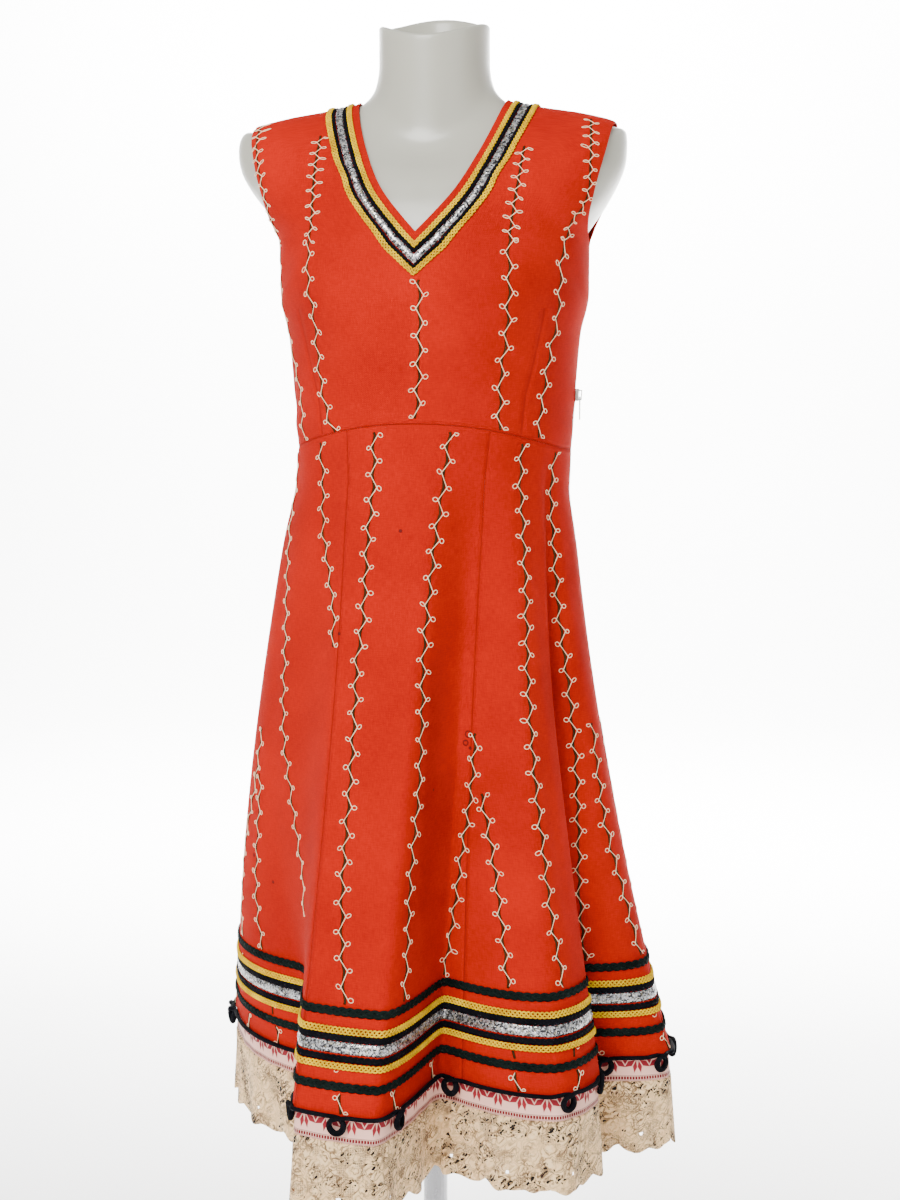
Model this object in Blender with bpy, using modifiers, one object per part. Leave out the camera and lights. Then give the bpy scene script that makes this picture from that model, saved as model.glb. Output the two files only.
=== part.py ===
"""A sukman dress on a limbless dress form with a round stand.

Metres, +Z up, front towards -Y. The origin is the centre of the base's underside.
Every cloth piece is a thin closed wall between an inner grid of points and the same
grid moved out. The bodice lies on one smooth body surface, and the skirt hangs from it.
"""

import math

import bpy
import numpy as np
from mathutils import Matrix, Vector

# Cloth and seam sizes
WALL = 0.0015
GAP = 0.0003
HALF_GAP = 0.5 * GAP
TRIM_GAP = 0.0005
NECK_TRIM_GAP = 0.0008
TUCK_GAP = 0.0008
RIBBON_THICK = 0.0010
LACE_THICK = 0.0010

# Heights above the floor
HEM_Z = 0.420
SIDE_SEAM_Z = 1.018
UNDERARM_Z = 1.215
FRONT_ARCH = 0.027
BACK_ARCH = 0.004
RIBBON_DROP = 0.025
RIBBON_TUCK = 0.006
RIBBON_FLARE = 0.3
SLOPE_REACH = 0.04
LACE_DROP = 0.068

# Body surface: one row for each ring, from the end of the form up to its neck cut.
# Angles run from 0 at the front over +90 at +X to 180 at the back. Ease is the space
# between the form and the inside of the dress.
RING_COLUMNS = ("side_z", "front_z", "back_z", "half_width", "front", "back", "square", "ease")
RINGS = (
    (0.800, 0.800, 0.800, 0.158, 0.112, 0.118, 2.00, 0.0120),
    (0.870, 0.870, 0.870, 0.151, 0.112, 0.113, 2.00, 0.0100),
    (0.930, 0.930, 0.930, 0.1415, 0.110, 0.106, 2.02, 0.0110),
    (0.985, 0.985, 0.985, 0.1325, 0.108, 0.098, 2.05, 0.0140),
    (1.040, 1.040, 1.040, 0.1365, 0.109, 0.094, 2.10, 0.0140),
    (1.090, 1.090, 1.090, 0.1395, 0.113, 0.095, 2.12, 0.0120),
    (1.130, 1.130, 1.130, 0.1430, 0.118, 0.099, 2.15, 0.0090),
    (1.170, 1.170, 1.170, 0.1510, 0.120, 0.103, 2.18, 0.0060),
    (1.215, 1.215, 1.215, 0.1510, 0.113, 0.107, 2.20, 0.0040),
    (1.255, 1.235, 1.245, 0.1720, 0.106, 0.109, 2.25, 0.0030),
    (1.296, 1.252, 1.270, 0.1850, 0.099, 0.108, 2.30, 0.0030),
    (1.321, 1.266, 1.290, 0.1860, 0.092, 0.104, 2.25, 0.0034),
    (1.331, 1.276, 1.302, 0.1770, 0.086, 0.098, 2.20, 0.0032),
    (1.340, 1.285, 1.313, 0.1450, 0.079, 0.089, 2.10, 0.0028),
    (1.346, 1.293, 1.325, 0.1080, 0.071, 0.078, 2.05, 0.0025),
    (1.352, 1.303, 1.338, 0.0770, 0.063, 0.066, 2.00, 0.0018),
    (1.368, 1.322, 1.357, 0.0595, 0.0555, 0.057, 2.00, 0.0012),
    (1.392, 1.365, 1.398, 0.0540, 0.0530, 0.0535, 2.00, 0.0000),
    (1.4245, 1.409, 1.440, 0.0540, 0.0530, 0.0530, 2.00, 0.0000),
)
UNDERARM_RING = 8.0
TIP_RING = 12.0
LAST_RING = 15.0
BUST_Z = 1.165
BUST_TALL = 0.042
BUST_ANGLE = 33.0
BUST_WIDE = 20.0
BUST_RISE = 0.009

# Cut edges of the bodice, seen from the front: height and distance from the middle
FRONT_NECK = (
    (1.2235, 0.0), (1.236, 0.0120), (1.266, 0.0365),
    (1.300, 0.0540), (1.330, 0.0655), (1.3535, 0.0725),
)
BACK_NECK = (
    (1.3250, 0.0), (1.3275, 0.0240), (1.334, 0.0450), (1.343, 0.0610), (1.3535, 0.0725),
)
FRONT_ARMHOLE = (
    (1.215, 0.1510), (1.230, 0.1525), (1.262, 0.1600), (1.296, 0.1690), (1.331, 0.1770),
)
BACK_ARMHOLE = (
    (1.215, 0.1510), (1.230, 0.1530), (1.262, 0.1640), (1.296, 0.1720), (1.331, 0.1770),
)

# Panel grids
HALF_COLUMNS = 8
LOWER_ROWS = (0.0, 0.034, 0.069, 0.100, 0.134, 0.166)
UPPER_RINGS = (8.0, "v_tip", 9.0, 9.6, 10.2, 10.9, 11.5, 11.8, 12.0, 12.6, 13.3, 14.0, 14.6, 15.0)
BLEND_RING = 13.3

# Skirt: the smooth cone that the folds grow out of
SKIRT_HALF_WIDTH = 0.222
SKIRT_DEPTH = 0.200
SKIRT_MIDDLE = (-0.003, -0.003)
FLARE_POWER = 1.25
WAIST_DIP = 0.003
DIP_AT = 0.07
DIP_WIDE = 0.06
WAIST_RADIUS = 0.12
WAIST_SHARE = 0.5
SKIRT_ROWS = (0.0, 0.05, 0.10, 0.15, 0.26, 0.40, 0.55, 0.70, 0.84, 0.92, 1.0)
GORE_SEAMS = (-90.0, -29.0, 29.0, 90.0, 151.0, 209.0, 270.0)
GORE_NAMES = ("left_side", "front", "right_side", "back_right", "back", "back_left")
GORE_COLUMNS = 11

# Skirt folds: one row for each fold, then the valley after it. The waist angles say
# which stretch of the waist feeds a fold, and growth is how late it opens below.
FOLD_COLUMNS = (
    "waist_start", "waist_end", "hem_start", "hem_end", "crest_start", "crest_end",
    "valley_waist", "valley_hem", "valley_radius", "growth",
)
FOLDS = (
    (-30.0, 4.0, -20.5, 1.0, 0.264, 0.236, 22.0, 10.0, 0.136, 1.15),
    (39.0, 51.0, 37.0, 51.0, 0.211, 0.225, 67.0, 69.0, 0.178, 1.6),
    (93.0, 106.0, 84.0, 98.0, 0.228, 0.250, 127.0, 124.0, 0.192, 3.6),
    (147.0, 160.0, 143.0, 158.0, 0.226, 0.240, 181.0, 184.0, 0.168, 1.7),
    (199.0, 212.0, 200.0, 216.0, 0.232, 0.240, 233.0, 236.0, 0.182, 1.7),
    (251.0, 263.0, 254.0, 275.0, 0.214, 0.204, 289.0, 304.0, 0.150, 1.5),
)

# Trims on the skirt: height of the lower edge above the hem, width, rise, colour name
HEM_TRIMS = (
    ("hem_braid_green_lower", 0.0215, 0.0080, 0.0016, "green"),
    ("hem_braid_yellow_lower", 0.0405, 0.0050, 0.0016, "yellow"),
    ("hem_braid_black_lower", 0.0475, 0.0050, 0.0014, "black"),
    ("hem_braid_silver", 0.0540, 0.0085, 0.0016, "silver"),
    ("hem_braid_black_upper", 0.0640, 0.0050, 0.0014, "black"),
    ("hem_braid_yellow_upper", 0.0710, 0.0050, 0.0016, "yellow"),
    ("hem_braid_green_upper", 0.0860, 0.0080, 0.0016, "green"),
)

# Trims round the neck: distance of the inner edge from the neckline, width, rise, colour
NECK_TRIMS = (
    ("neck_braid_yellow_inner", 0.0075, 0.0038, 0.0015, "yellow"),
    ("neck_braid_black_inner", 0.0117, 0.0040, 0.0014, "black"),
    ("neck_braid_silver", 0.0161, 0.0064, 0.0016, "silver"),
    ("neck_braid_black_outer", 0.0229, 0.0036, 0.0014, "black"),
    ("neck_braid_yellow_outer", 0.0269, 0.0040, 0.0015, "yellow"),
)
NECK_STEPS_FRONT = 15
NECK_STEPS_BACK = 8
NECK_STEP_POWER = 1.25
NECK_FINE_LEVELS = 60
NECK_FINE_ANGLES = 12
STRIDES = 4
TRY_ANGLE = 0.2
TRY_LEVEL = 0.02

# Hem cord: one round cord along the hem edge that turns a hanging loop at each of the
# waist angles below. A loop's steps are along the hem, down and out from it.
CORD_RADIUS = 0.0018
CORD_SIDES = 5
LOOP_STEPS = (
    (-0.0030, 0.0000, 0.0000),
    (0.0042, 0.0022, 0.0003),
    (0.0066, 0.0080, 0.0009),
    (0.0042, 0.0130, 0.0016),
    (0.0000, 0.0148, 0.0021),
    (-0.0042, 0.0130, 0.0027),
    (-0.0066, 0.0080, 0.0034),
    (-0.0042, 0.0022, 0.0042),
    (0.0030, 0.0000, 0.0042),
)
LOOP_ANGLES = (
    -33.0, -14.0, 8.0, 26.0, 37.0, 48.0, 66.0, 82.0, 97.0, 112.0,
    128.0, 146.0, 162.0, 180.0, 197.0, 213.0, 232.0, 250.0, 268.0, 284.0, 306.0,
)

# Lace flounce: gathered waves, scallops and the holes of its pattern
LACE_REPEATS = 30
LACE_FLARE = 0.1
LACE_STEPS = 4
LACE_ROWS = (0.0, 0.55, 1.0)
LACE_WAVE = (0.0, 0.0045, 0.0, -0.0045)
LACE_SCALLOP = (0.0035, -0.0045, 0.0015, -0.0060)
LACE_HOLE = (0.0052, 0.0046)
LACE_HOLE_STEP = 1
RIP_HOLE = (0.0110, 0.0190)
RIP_ANGLE = 55.0

# Side zip in the +X seam. It starts and ends on rows of the panels.
ZIP_SKIRT_ROWS = 3
ZIP_BODICE_ROWS = 3
ZIP_TOP = 1.087
ZIP_BOTTOM = 0.928
ZIP_HALF_OPEN = 0.0023
ZIP_MARGIN = 0.004
ZIP_CHAIN_HALF = 0.0020
ZIP_CHAIN_THICK = 0.0020
ZIP_CHAIN_SUNK = 0.0005
ZIP_TAPE_HALF = 0.0080
ZIP_TAPE_SUNK = 0.0009
ZIP_TAPE_THICK = 0.0008
SLIDER_Z = 1.071
SLIDER_SIZE = (0.0030, 0.0090, 0.0120)
BRIDGE_SIZE = (0.0030, 0.0016, 0.0100)
BRIDGE_WINDOW = (0.0020, 0.0076)
BRIDGE_ROOT = 0.0010
PULL_LOW = 0.0020
PULL_SIZE = (0.0010, 0.0054, 0.0230)
PULL_WINDOW = (0.0036, 0.0066)
PULL_BAR = 0.0010

# Dress form and stand
FORM_COLUMNS = 28
FORM_RINGS = (
    0.0, 1.0, 2.0, 3.0, 4.0, 5.0, 5.9, 6.8, 7.5, 8.2, 8.8, 9.4, 10.1,
    10.8, 11.4, 12.0, 12.6, 13.3, 14.0, 14.6, 15.0, 15.5, 16.1, 17.0, 18.0,
)
LIP_STEPS = ((0.0015, 0.0020), (0.0050, 0.0022), (0.0085, -0.0020), (0.0120, -0.0100))
BASE_RADIUS = 0.170
BASE_THICK = 0.012
BASE_EDGE = 0.003
HUB_RADIUS = 0.026
HUB_TOP = 0.034
POLE_RADIUS = 0.0125

# Surface colours
COLOURS = {
    "wool": ((0.80, 0.055, 0.020), 0.85, 0.0),
    "yellow": ((0.85, 0.50, 0.03), 0.75, 0.0),
    "black": ((0.012, 0.012, 0.016), 0.70, 0.0),
    "green": ((0.012, 0.030, 0.024), 0.70, 0.0),
    "silver": ((0.62, 0.62, 0.64), 0.35, 0.8),
    "ribbon": ((0.78, 0.62, 0.54), 0.70, 0.0),
    "lace": ((0.62, 0.50, 0.36), 0.80, 0.0),
    "tape": ((0.50, 0.04, 0.02), 0.85, 0.0),
    "zip": ((0.45, 0.42, 0.38), 0.35, 1.0),
    "form": ((0.45, 0.45, 0.41), 0.20, 0.0),
    "steel": ((0.40, 0.40, 0.40), 0.35, 1.0),
}


def clear_scene():
    for old in list(bpy.data.objects):
        bpy.data.objects.remove(old, do_unlink=True)


def new_collection(name, hidden=False):
    made = bpy.data.collections.new(name)
    bpy.context.scene.collection.children.link(made)
    made.hide_render = hidden
    return made


def material(colour):
    name = "mat_" + colour
    if name in bpy.data.materials:
        return bpy.data.materials[name]
    rgb, rough, metal = COLOURS[colour]
    made = bpy.data.materials.new(name)
    made.use_nodes = True
    shader = made.node_tree.nodes["Principled BSDF"]
    shader.inputs["Base Color"].default_value = (*rgb, 1.0)
    shader.inputs["Roughness"].default_value = rough
    shader.inputs["Metallic"].default_value = metal
    return made


def add_mesh(name, points, faces, colour, smooth=True):
    mesh = bpy.data.meshes.new(name)
    mesh.from_pydata([tuple(p) for p in points], [], faces)
    mesh.materials.append(material(colour))
    if smooth:
        mesh.shade_smooth()
        mesh.set_sharp_from_angle(angle=math.radians(50.0))
    made = bpy.data.objects.new(name, mesh)
    PARTS.objects.link(made)
    return made


class SoftCurve:
    """A smooth curve through its knots that never swings past them."""

    def __init__(self, knots, values):
        self.knots = np.asarray(knots, float)
        self.values = np.asarray(values, float)
        self.steps = np.diff(self.knots)
        rises = np.diff(self.values) / self.steps
        same = rises[:-1] * rises[1:] > 0.0
        total = np.where(same, rises[:-1] + rises[1:], 1.0)
        middle = np.where(same, 2.0 * rises[:-1] * rises[1:] / total, 0.0)
        self.slopes = np.concatenate([rises[:1], middle, rises[-1:]])

    def __call__(self, at):
        at = np.clip(np.asarray(at, float), self.knots[0], self.knots[-1])
        cell = np.clip(np.searchsorted(self.knots, at, side="right") - 1, 0, len(self.steps) - 1)
        step = self.steps[cell]
        t = (at - self.knots[cell]) / step
        ends = self.values[cell] * (1 + 2 * t) * (1 - t) ** 2 + self.values[cell + 1] * t * t * (3 - 2 * t)
        return ends + step * (self.slopes[cell] * t * (1 - t) ** 2 - self.slopes[cell + 1] * t * t * (1 - t))


RING_KNOTS = np.arange(len(RINGS), dtype=float)
RING_CURVES = {
    name: SoftCurve(RING_KNOTS, [row[i] for row in RINGS]) for i, name in enumerate(RING_COLUMNS)
}


def ring_value(name, level):
    return RING_CURVES[name](level)


def body_base(angle, level):
    """Point of the smooth body surface at an angle (degrees) and a ring level."""
    turn = np.radians(angle)
    s = np.sin(turn)
    c = np.cos(turn)
    power = 2.0 / ring_value("square", level)
    facing = c > 0.0
    depth = np.where(facing, ring_value("front", level), ring_value("back", level))
    end_z = np.where(facing, ring_value("front_z", level), ring_value("back_z", level))
    x = ring_value("half_width", level) * np.sign(s) * np.abs(s) ** power
    y = -depth * np.sign(c) * np.abs(c) ** power
    z = ring_value("side_z", level) * s * s + end_z * c * c
    spread = ((np.abs(angle) - BUST_ANGLE) / BUST_WIDE) ** 2 + ((z - BUST_Z) / BUST_TALL) ** 2
    y = y - BUST_RISE * np.exp(-spread)
    return np.stack([x, y, z], axis=-1)


def body_normal(angle, level):
    """Outward direction. It is level below the underarm, so panels meet face to face."""
    angle = np.asarray(angle, float)
    level = np.asarray(level, float)
    along = body_base(angle + 0.5, level) - body_base(angle - 0.5, level)
    up = body_base(angle, np.minimum(level + 0.02, RING_KNOTS[-1]))
    up = up - body_base(angle, np.maximum(level - 0.02, 0.0))
    normal = np.cross(along, up)
    share = np.clip(level - UNDERARM_RING, 0.0, 1.0)
    normal[..., 2] = normal[..., 2] * share
    return normal / np.linalg.norm(normal, axis=-1, keepdims=True)


def body(angle, level, out=0.0):
    angle = np.asarray(angle, float)
    level = np.asarray(level, float)
    return body_base(angle, level) + body_normal(angle, level) * out


def bisect(rising, low, high):
    for _ in range(40):
        middle = 0.5 * (low + high)
        if rising(middle) > 0.0:
            high = middle
        else:
            low = middle
    return 0.5 * (low + high)


FINE_LEVELS = np.linspace(0.0, UNDERARM_RING, 4001)
FINE_HEIGHTS = ring_value("side_z", FINE_LEVELS)


def level_at_height(angle, z):
    """Ring level of a height. Rings below the underarm are flat, so a table serves there."""
    if z < FINE_HEIGHTS[-1]:
        return float(np.interp(z, FINE_HEIGHTS, FINE_LEVELS))
    return bisect(lambda level: float(body_base(angle, level)[2]) - z, 0.0, LAST_RING)


CUT_EDGES = {
    "front_neck": SoftCurve(*zip(*FRONT_NECK)),
    "back_neck": SoftCurve(*zip(*BACK_NECK)),
    "front_armhole": SoftCurve(*zip(*FRONT_ARMHOLE)),
    "back_armhole": SoftCurve(*zip(*BACK_ARMHOLE)),
}


def edge_gap(angle, level, edge):
    """How far a body point lies outside a cut edge that is drawn from the front."""
    point = body_base(angle, level)
    return float(abs(point[0]) - CUT_EDGES[edge](point[2]))


def edge_angle(level, edge, facing):
    """Angle away from the middle where a ring crosses a cut edge."""
    if facing > 0:
        return bisect(lambda a: edge_gap(a, level, edge), 0.0, 90.0)
    return bisect(lambda a: edge_gap(180.0 - a, level, edge), 0.0, 90.0)


def neck_level(away, edge, facing):
    """Ring level where the neckline crosses an angle that is counted from the middle."""
    angle = away if facing > 0 else 180.0 - away
    return bisect(lambda level: -edge_gap(angle, level, edge), 13.5, 16.0)


V_TIP_LEVEL = level_at_height(0.0, FRONT_NECK[0][0])
NAPE_LEVEL = level_at_height(180.0, BACK_NECK[0][0])


def seam_z(angle):
    """Height of the waist seam, arched up at the front."""
    c = math.cos(math.radians(angle))
    arch = FRONT_ARCH if c > 0.0 else BACK_ARCH
    return SIDE_SEAM_Z + arch * c * c


def zip_opening(angle, z):
    """Half of the space between two edges that meet at a seam."""
    near = abs(angle - 90.0) < 0.01
    inside = ZIP_BOTTOM - ZIP_MARGIN < z < ZIP_TOP + ZIP_MARGIN
    return ZIP_HALF_OPEN if near and inside else HALF_GAP


def split_cell(inner, outer, corners):
    """Two triangles, cut along the diagonal that keeps a twisted cell from bulging out."""
    if len(corners) == 3:
        return [corners]
    a, b, c, d = corners
    out = outer[a] + outer[c] - inner[a] - inner[c]
    bulge = np.dot(inner[a] + inner[c] - inner[b] - inner[d], out)
    if bulge > 0.0:
        return [[b, c, d], [b, d, a]]
    return [[a, b, c], [a, c, d]]


def wall(name, inner, outer, cells, colour):
    """Closed wall between two matched lists of points, over the cells (quads) given."""
    count = len(inner)
    faces = []
    edges = {}
    for cell in cells:
        corners = [cell[0]]
        for corner in cell[1:]:
            if corner != corners[-1] and corner != corners[0]:
                corners.append(corner)
        for piece in split_cell(inner, outer, corners):
            faces.append([corner + count for corner in piece])
            faces.append(list(reversed(piece)))
        for a, b in zip(corners, corners[1:] + corners[:1]):
            edges[(a, b)] = edges.get((a, b), 0) + 1
    for a, b in edges:
        if (b, a) not in edges:
            faces.append([a, b, b + count, a + count])
    points = list(inner) + list(outer)
    used = sorted({corner for face in faces for corner in face})
    place = {corner: i for i, corner in enumerate(used)}
    points = [points[corner] for corner in used]
    faces = [[place[corner] for corner in face] for face in faces]
    return add_mesh(name, points, faces, colour)


def bodice_rows(facing):
    """Half of a panel as rows of (angle, level), from the middle to the side."""
    neckline = "front_neck" if facing > 0 else "back_neck"
    armhole = "front_armhole" if facing > 0 else "back_armhole"
    evenly = np.linspace(0.0, 90.0, HALF_COLUMNS + 1)
    edge_levels = np.array([neck_level(away, neckline, facing) for away in evenly])
    rows = []
    for rise in LOWER_ROWS:
        row = []
        share = 1.0 - rise / (UNDERARM_Z - SIDE_SEAM_Z)
        for away in evenly:
            angle = away if facing > 0 else 180.0 - away
            z = SIDE_SEAM_Z + rise + (seam_z(angle) - SIDE_SEAM_Z) * share
            row.append((away, level_at_height(angle, z)))
        rows.append(row)
    for name in UPPER_RINGS:
        level = V_TIP_LEVEL if name == "v_tip" else name
        first = 0.0
        last = 90.0
        if facing > 0 and level > V_TIP_LEVEL + 1e-6:
            first = edge_angle(level, neckline, facing)
        if UNDERARM_RING < level < TIP_RING:
            last = edge_angle(level, armhole, facing)
        if facing < 0 and level > BLEND_RING:
            share = (level - BLEND_RING) / (edge_levels[-1] - BLEND_RING)
            levels = BLEND_RING + (edge_levels - BLEND_RING) * share
            rows.append(list(zip(evenly, levels)))
        else:
            rows.append([(away, level) for away in np.linspace(first, last, HALF_COLUMNS + 1)])
    if facing > 0:
        edge_away = [away for away, _ in rows[-1]]
        rows.append([(away, neck_level(away, neckline, facing)) for away in edge_away])
    else:
        rows.append(list(zip(evenly, edge_levels)))
    return rows


def bodice_points(rows, facing, side, out):
    points = []
    for number, row in enumerate(rows):
        for j, (away, level) in enumerate(row):
            angle = away if facing > 0 else 180.0 - away
            point = body(side * angle, level, out)
            if number == 0:
                point[2] += HALF_GAP
            if away > 89.99:
                opening = zip_opening(side * angle, float(point[2]))
                point[1] -= facing * opening
            points.append(point)
    return points


def bodice_panel(name, facing):
    """Front or back of the bodice: two halves that share their points in the middle."""
    rows = bodice_rows(facing)
    wide = HALF_COLUMNS + 1
    half = len(rows) * wide
    inner = bodice_points(rows, facing, 1, 0.0) + bodice_points(rows, facing, -1, 0.0)
    outer = bodice_points(rows, facing, 1, WALL) + bodice_points(rows, facing, -1, WALL)

    def index(side, row, column):
        shared = column == 0 and rows[row][0][0] == 0.0
        start = 0 if side > 0 or shared else half
        return start + row * wide + column

    cells = []
    for side in (1, -1):
        for row in range(len(rows) - 1):
            for column in range(HALF_COLUMNS):
                cell = [
                    index(side, row, column), index(side, row, column + 1),
                    index(side, row + 1, column + 1), index(side, row + 1, column),
                ]
                if facing > 0 and row == len(rows) - 2 and column == 0:
                    cell = cell[:3]
                cells.append(cell if side * facing > 0 else cell[::-1])
    return wall(name, inner, outer, cells, "wool")


def fold_knots():
    """Waist angle, hem angle, hem radius and growth of every crest edge and valley."""
    knots = []
    for row in FOLDS:
        value = dict(zip(FOLD_COLUMNS, row))
        knots.append((value["waist_start"], value["hem_start"], value["crest_start"], value["growth"]))
        knots.append((value["waist_end"], value["hem_end"], value["crest_end"], value["growth"]))
        knots.append((value["valley_waist"], value["valley_hem"], value["valley_radius"], value["growth"]))
    before = [(w - 360.0, h - 360.0, r, g) for w, h, r, g in knots[-6:]]
    after = [(w + 360.0, h + 360.0, r, g) for w, h, r, g in knots[:6]]
    return np.array(before + knots + after)


FOLD_KNOTS = fold_knots()
FOLD_ANGLE = SoftCurve(FOLD_KNOTS[:, 0], FOLD_KNOTS[:, 1])
FOLD_RADIUS = SoftCurve(FOLD_KNOTS[:, 0], FOLD_KNOTS[:, 2])
FOLD_GROWTH = SoftCurve(FOLD_KNOTS[:, 0], FOLD_KNOTS[:, 3])


def hem_point(angle):
    """Plan position of the hem for a waist angle, with the folds fully open."""
    turn = np.radians(FOLD_ANGLE(angle))
    radius = FOLD_RADIUS(angle)
    return np.stack([radius * np.sin(turn), -radius * np.cos(turn)], axis=-1)


def skirt_point(angle, drop):
    """Inside of the skirt at a waist angle and a share (0 to 1) of the way down."""
    wrapped = (angle + 180.0) % 360.0 - 180.0
    top_z = seam_z(angle)
    top = body(wrapped, level_at_height(wrapped, top_z))
    turn = math.radians(angle)
    cone_x = SKIRT_MIDDLE[0] + SKIRT_HALF_WIDTH * math.sin(turn)
    cone_y = SKIRT_MIDDLE[1] - SKIRT_DEPTH * math.cos(turn)
    fold = hem_point(angle)
    growth = float(FOLD_GROWTH(angle))
    flare = drop ** FLARE_POWER
    opened = drop ** growth
    dip = WAIST_DIP * math.exp(-((drop - DIP_AT) / DIP_WIDE) ** 2) * min(1.0, drop / DIP_AT)
    x = top[0] + (cone_x - top[0]) * flare + (fold[0] - cone_x) * opened
    y = top[1] + (cone_y - top[1]) * flare + (fold[1] - cone_y) * opened
    x -= dip * math.sin(turn)
    y += dip * math.cos(turn)
    return np.array([x, y, top_z + (HEM_Z - top_z) * drop])


def even_angles(start, end, count):
    """Waist angles that share out the hem, and a little of the waist, in even steps."""
    fine = np.linspace(start, end, 241)
    plan = hem_point(fine)
    steps = np.linalg.norm(np.diff(plan, axis=0), axis=1)
    waist = np.radians(np.diff(fine)) * WAIST_RADIUS
    run = np.concatenate([[0.0], np.cumsum(steps + WAIST_SHARE * waist)])
    return np.interp(np.linspace(0.0, run[-1], count + 1), run, fine)


def skirt_angles():
    angles = []
    for start, end in zip(GORE_SEAMS, GORE_SEAMS[1:]):
        angles += list(even_angles(start, end, GORE_COLUMNS))[:-1]
    return angles


SKIRT_ANGLES = skirt_angles()
SKIRT_GRID = np.array([[skirt_point(a, drop) for a in SKIRT_ANGLES] for drop in SKIRT_ROWS])


def moved_out(ring, distance):
    """A closed ring of points moved out level, with corners kept at full thickness."""
    ring = np.asarray(ring, float)
    ahead = np.roll(ring, -1, axis=0) - ring
    side = np.stack([ahead[:, 1], -ahead[:, 0]], axis=-1)
    side = side / np.linalg.norm(side, axis=1, keepdims=True)
    before = np.roll(side, 1, axis=0)
    joint = side + before
    joint = joint / np.linalg.norm(joint, axis=1, keepdims=True)
    reach = distance / np.maximum(np.sum(joint * side, axis=1), 0.5)
    moved = ring.copy()
    moved[:, :2] += joint * reach[:, None]
    return moved


def skirt_ring(height):
    """The skirt's inside at a height above the hem, made from the panels' own points."""
    ring = []
    for column in range(len(SKIRT_ANGLES)):
        line = SKIRT_GRID[:, column]
        z = HEM_Z + height
        x = np.interp(z, line[::-1, 2], line[::-1, 0])
        y = np.interp(z, line[::-1, 2], line[::-1, 1])
        ring.append((x, y, z))
    return np.array(ring)


def skirt_gore(number):
    """One gore: its slice of the skirt's points, with its side edges drawn in."""
    total = len(SKIRT_ANGLES)
    picks = [(number * GORE_COLUMNS + i) % total for i in range(GORE_COLUMNS + 1)]
    wide = len(picks)
    inner = []
    outer = []
    for row in range(len(SKIRT_ROWS)):
        ring = SKIRT_GRID[row]
        out_ring = moved_out(ring, WALL)
        pairs = [(ring[p].copy(), out_ring[p].copy()) for p in picks]
        for end, near in ((0, 1), (wide - 1, wide - 2)):
            seam = GORE_SEAMS[number] if end == 0 else GORE_SEAMS[number + 1]
            opening = zip_opening(seam, float(ring[picks[end]][2]))
            along = pairs[near][0] - pairs[end][0]
            along[2] = 0.0
            along = along / np.linalg.norm(along)
            pairs[end][0][:] += along * opening
            pairs[end][1][:] += along * opening
        if row == 0:
            for pair in pairs:
                pair[0][2] -= HALF_GAP
                pair[1][2] -= HALF_GAP
        inner += [pair[0] for pair in pairs]
        outer += [pair[1] for pair in pairs]
    cells = []
    for row in range(len(SKIRT_ROWS) - 1):
        for column in range(wide - 1):
            a = row * wide + column
            cells.append([a + wide, a + wide + 1, a + 1, a])
    return wall("skirt_" + GORE_NAMES[number], inner, outer, cells, "wool")


def closed_band(name, rings, colour):
    """Closed tube whose section runs through matching points of the rings."""
    count = len(rings[0])
    points = [point for ring in rings for point in ring]
    faces = []
    for k in range(len(rings)):
        after = (k + 1) % len(rings)
        for i in range(count):
            j = (i + 1) % count
            faces.append([k * count + i, k * count + j, after * count + j, after * count + i])
    return add_mesh(name, points, faces, colour)


def hem_trim(name, low, width, rise, colour):
    lower = moved_out(skirt_ring(low), WALL + TRIM_GAP)
    middle = moved_out(skirt_ring(low + 0.5 * width), WALL + TRIM_GAP + rise)
    upper = moved_out(skirt_ring(low + width), WALL + TRIM_GAP)
    return closed_band(name, [lower, middle, upper], colour)


def neck_side(edge, facing, steps):
    """Neckline of one side as (angle, level), from the middle to the shoulder."""
    open_level = V_TIP_LEVEL if facing > 0 else NAPE_LEVEL
    fine = [(0.0, open_level)]
    for level in np.linspace(open_level + 0.05, LAST_RING, NECK_FINE_LEVELS):
        fine.append((edge_angle(level, edge, facing), level))
    for away in np.linspace(fine[-1][0] + 1.0, 90.0, NECK_FINE_ANGLES):
        fine.append((away, neck_level(away, edge, facing)))
    points = [body(a if facing > 0 else 180.0 - a, level) for a, level in fine]
    run = [0.0]
    for a, b in zip(points, points[1:]):
        run.append(run[-1] + float(np.linalg.norm(b - a)))
    marks = run[-1] * (1.0 - (1.0 - np.linspace(0.0, 1.0, steps + 1)) ** NECK_STEP_POWER)
    away = np.interp(marks, run, [f[0] for f in fine])
    level = np.interp(marks, run, [f[1] for f in fine])
    return list(zip(away, level))


def step_on_body(angle, level, direction, distance):
    """Walk over the body surface from a point, a given way and distance."""
    for _ in range(STRIDES):
        across = body_base(angle + TRY_ANGLE, level) - body_base(angle - TRY_ANGLE, level)
        upward = body_base(angle, level + TRY_LEVEL) - body_base(angle, level - TRY_LEVEL)
        frame = np.stack([across / (2.0 * TRY_ANGLE), upward / (2.0 * TRY_LEVEL)], axis=1)
        move = np.linalg.lstsq(frame, direction * distance / STRIDES, rcond=None)[0]
        angle += float(move[0])
        level += float(move[1])
    return angle, level


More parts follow.
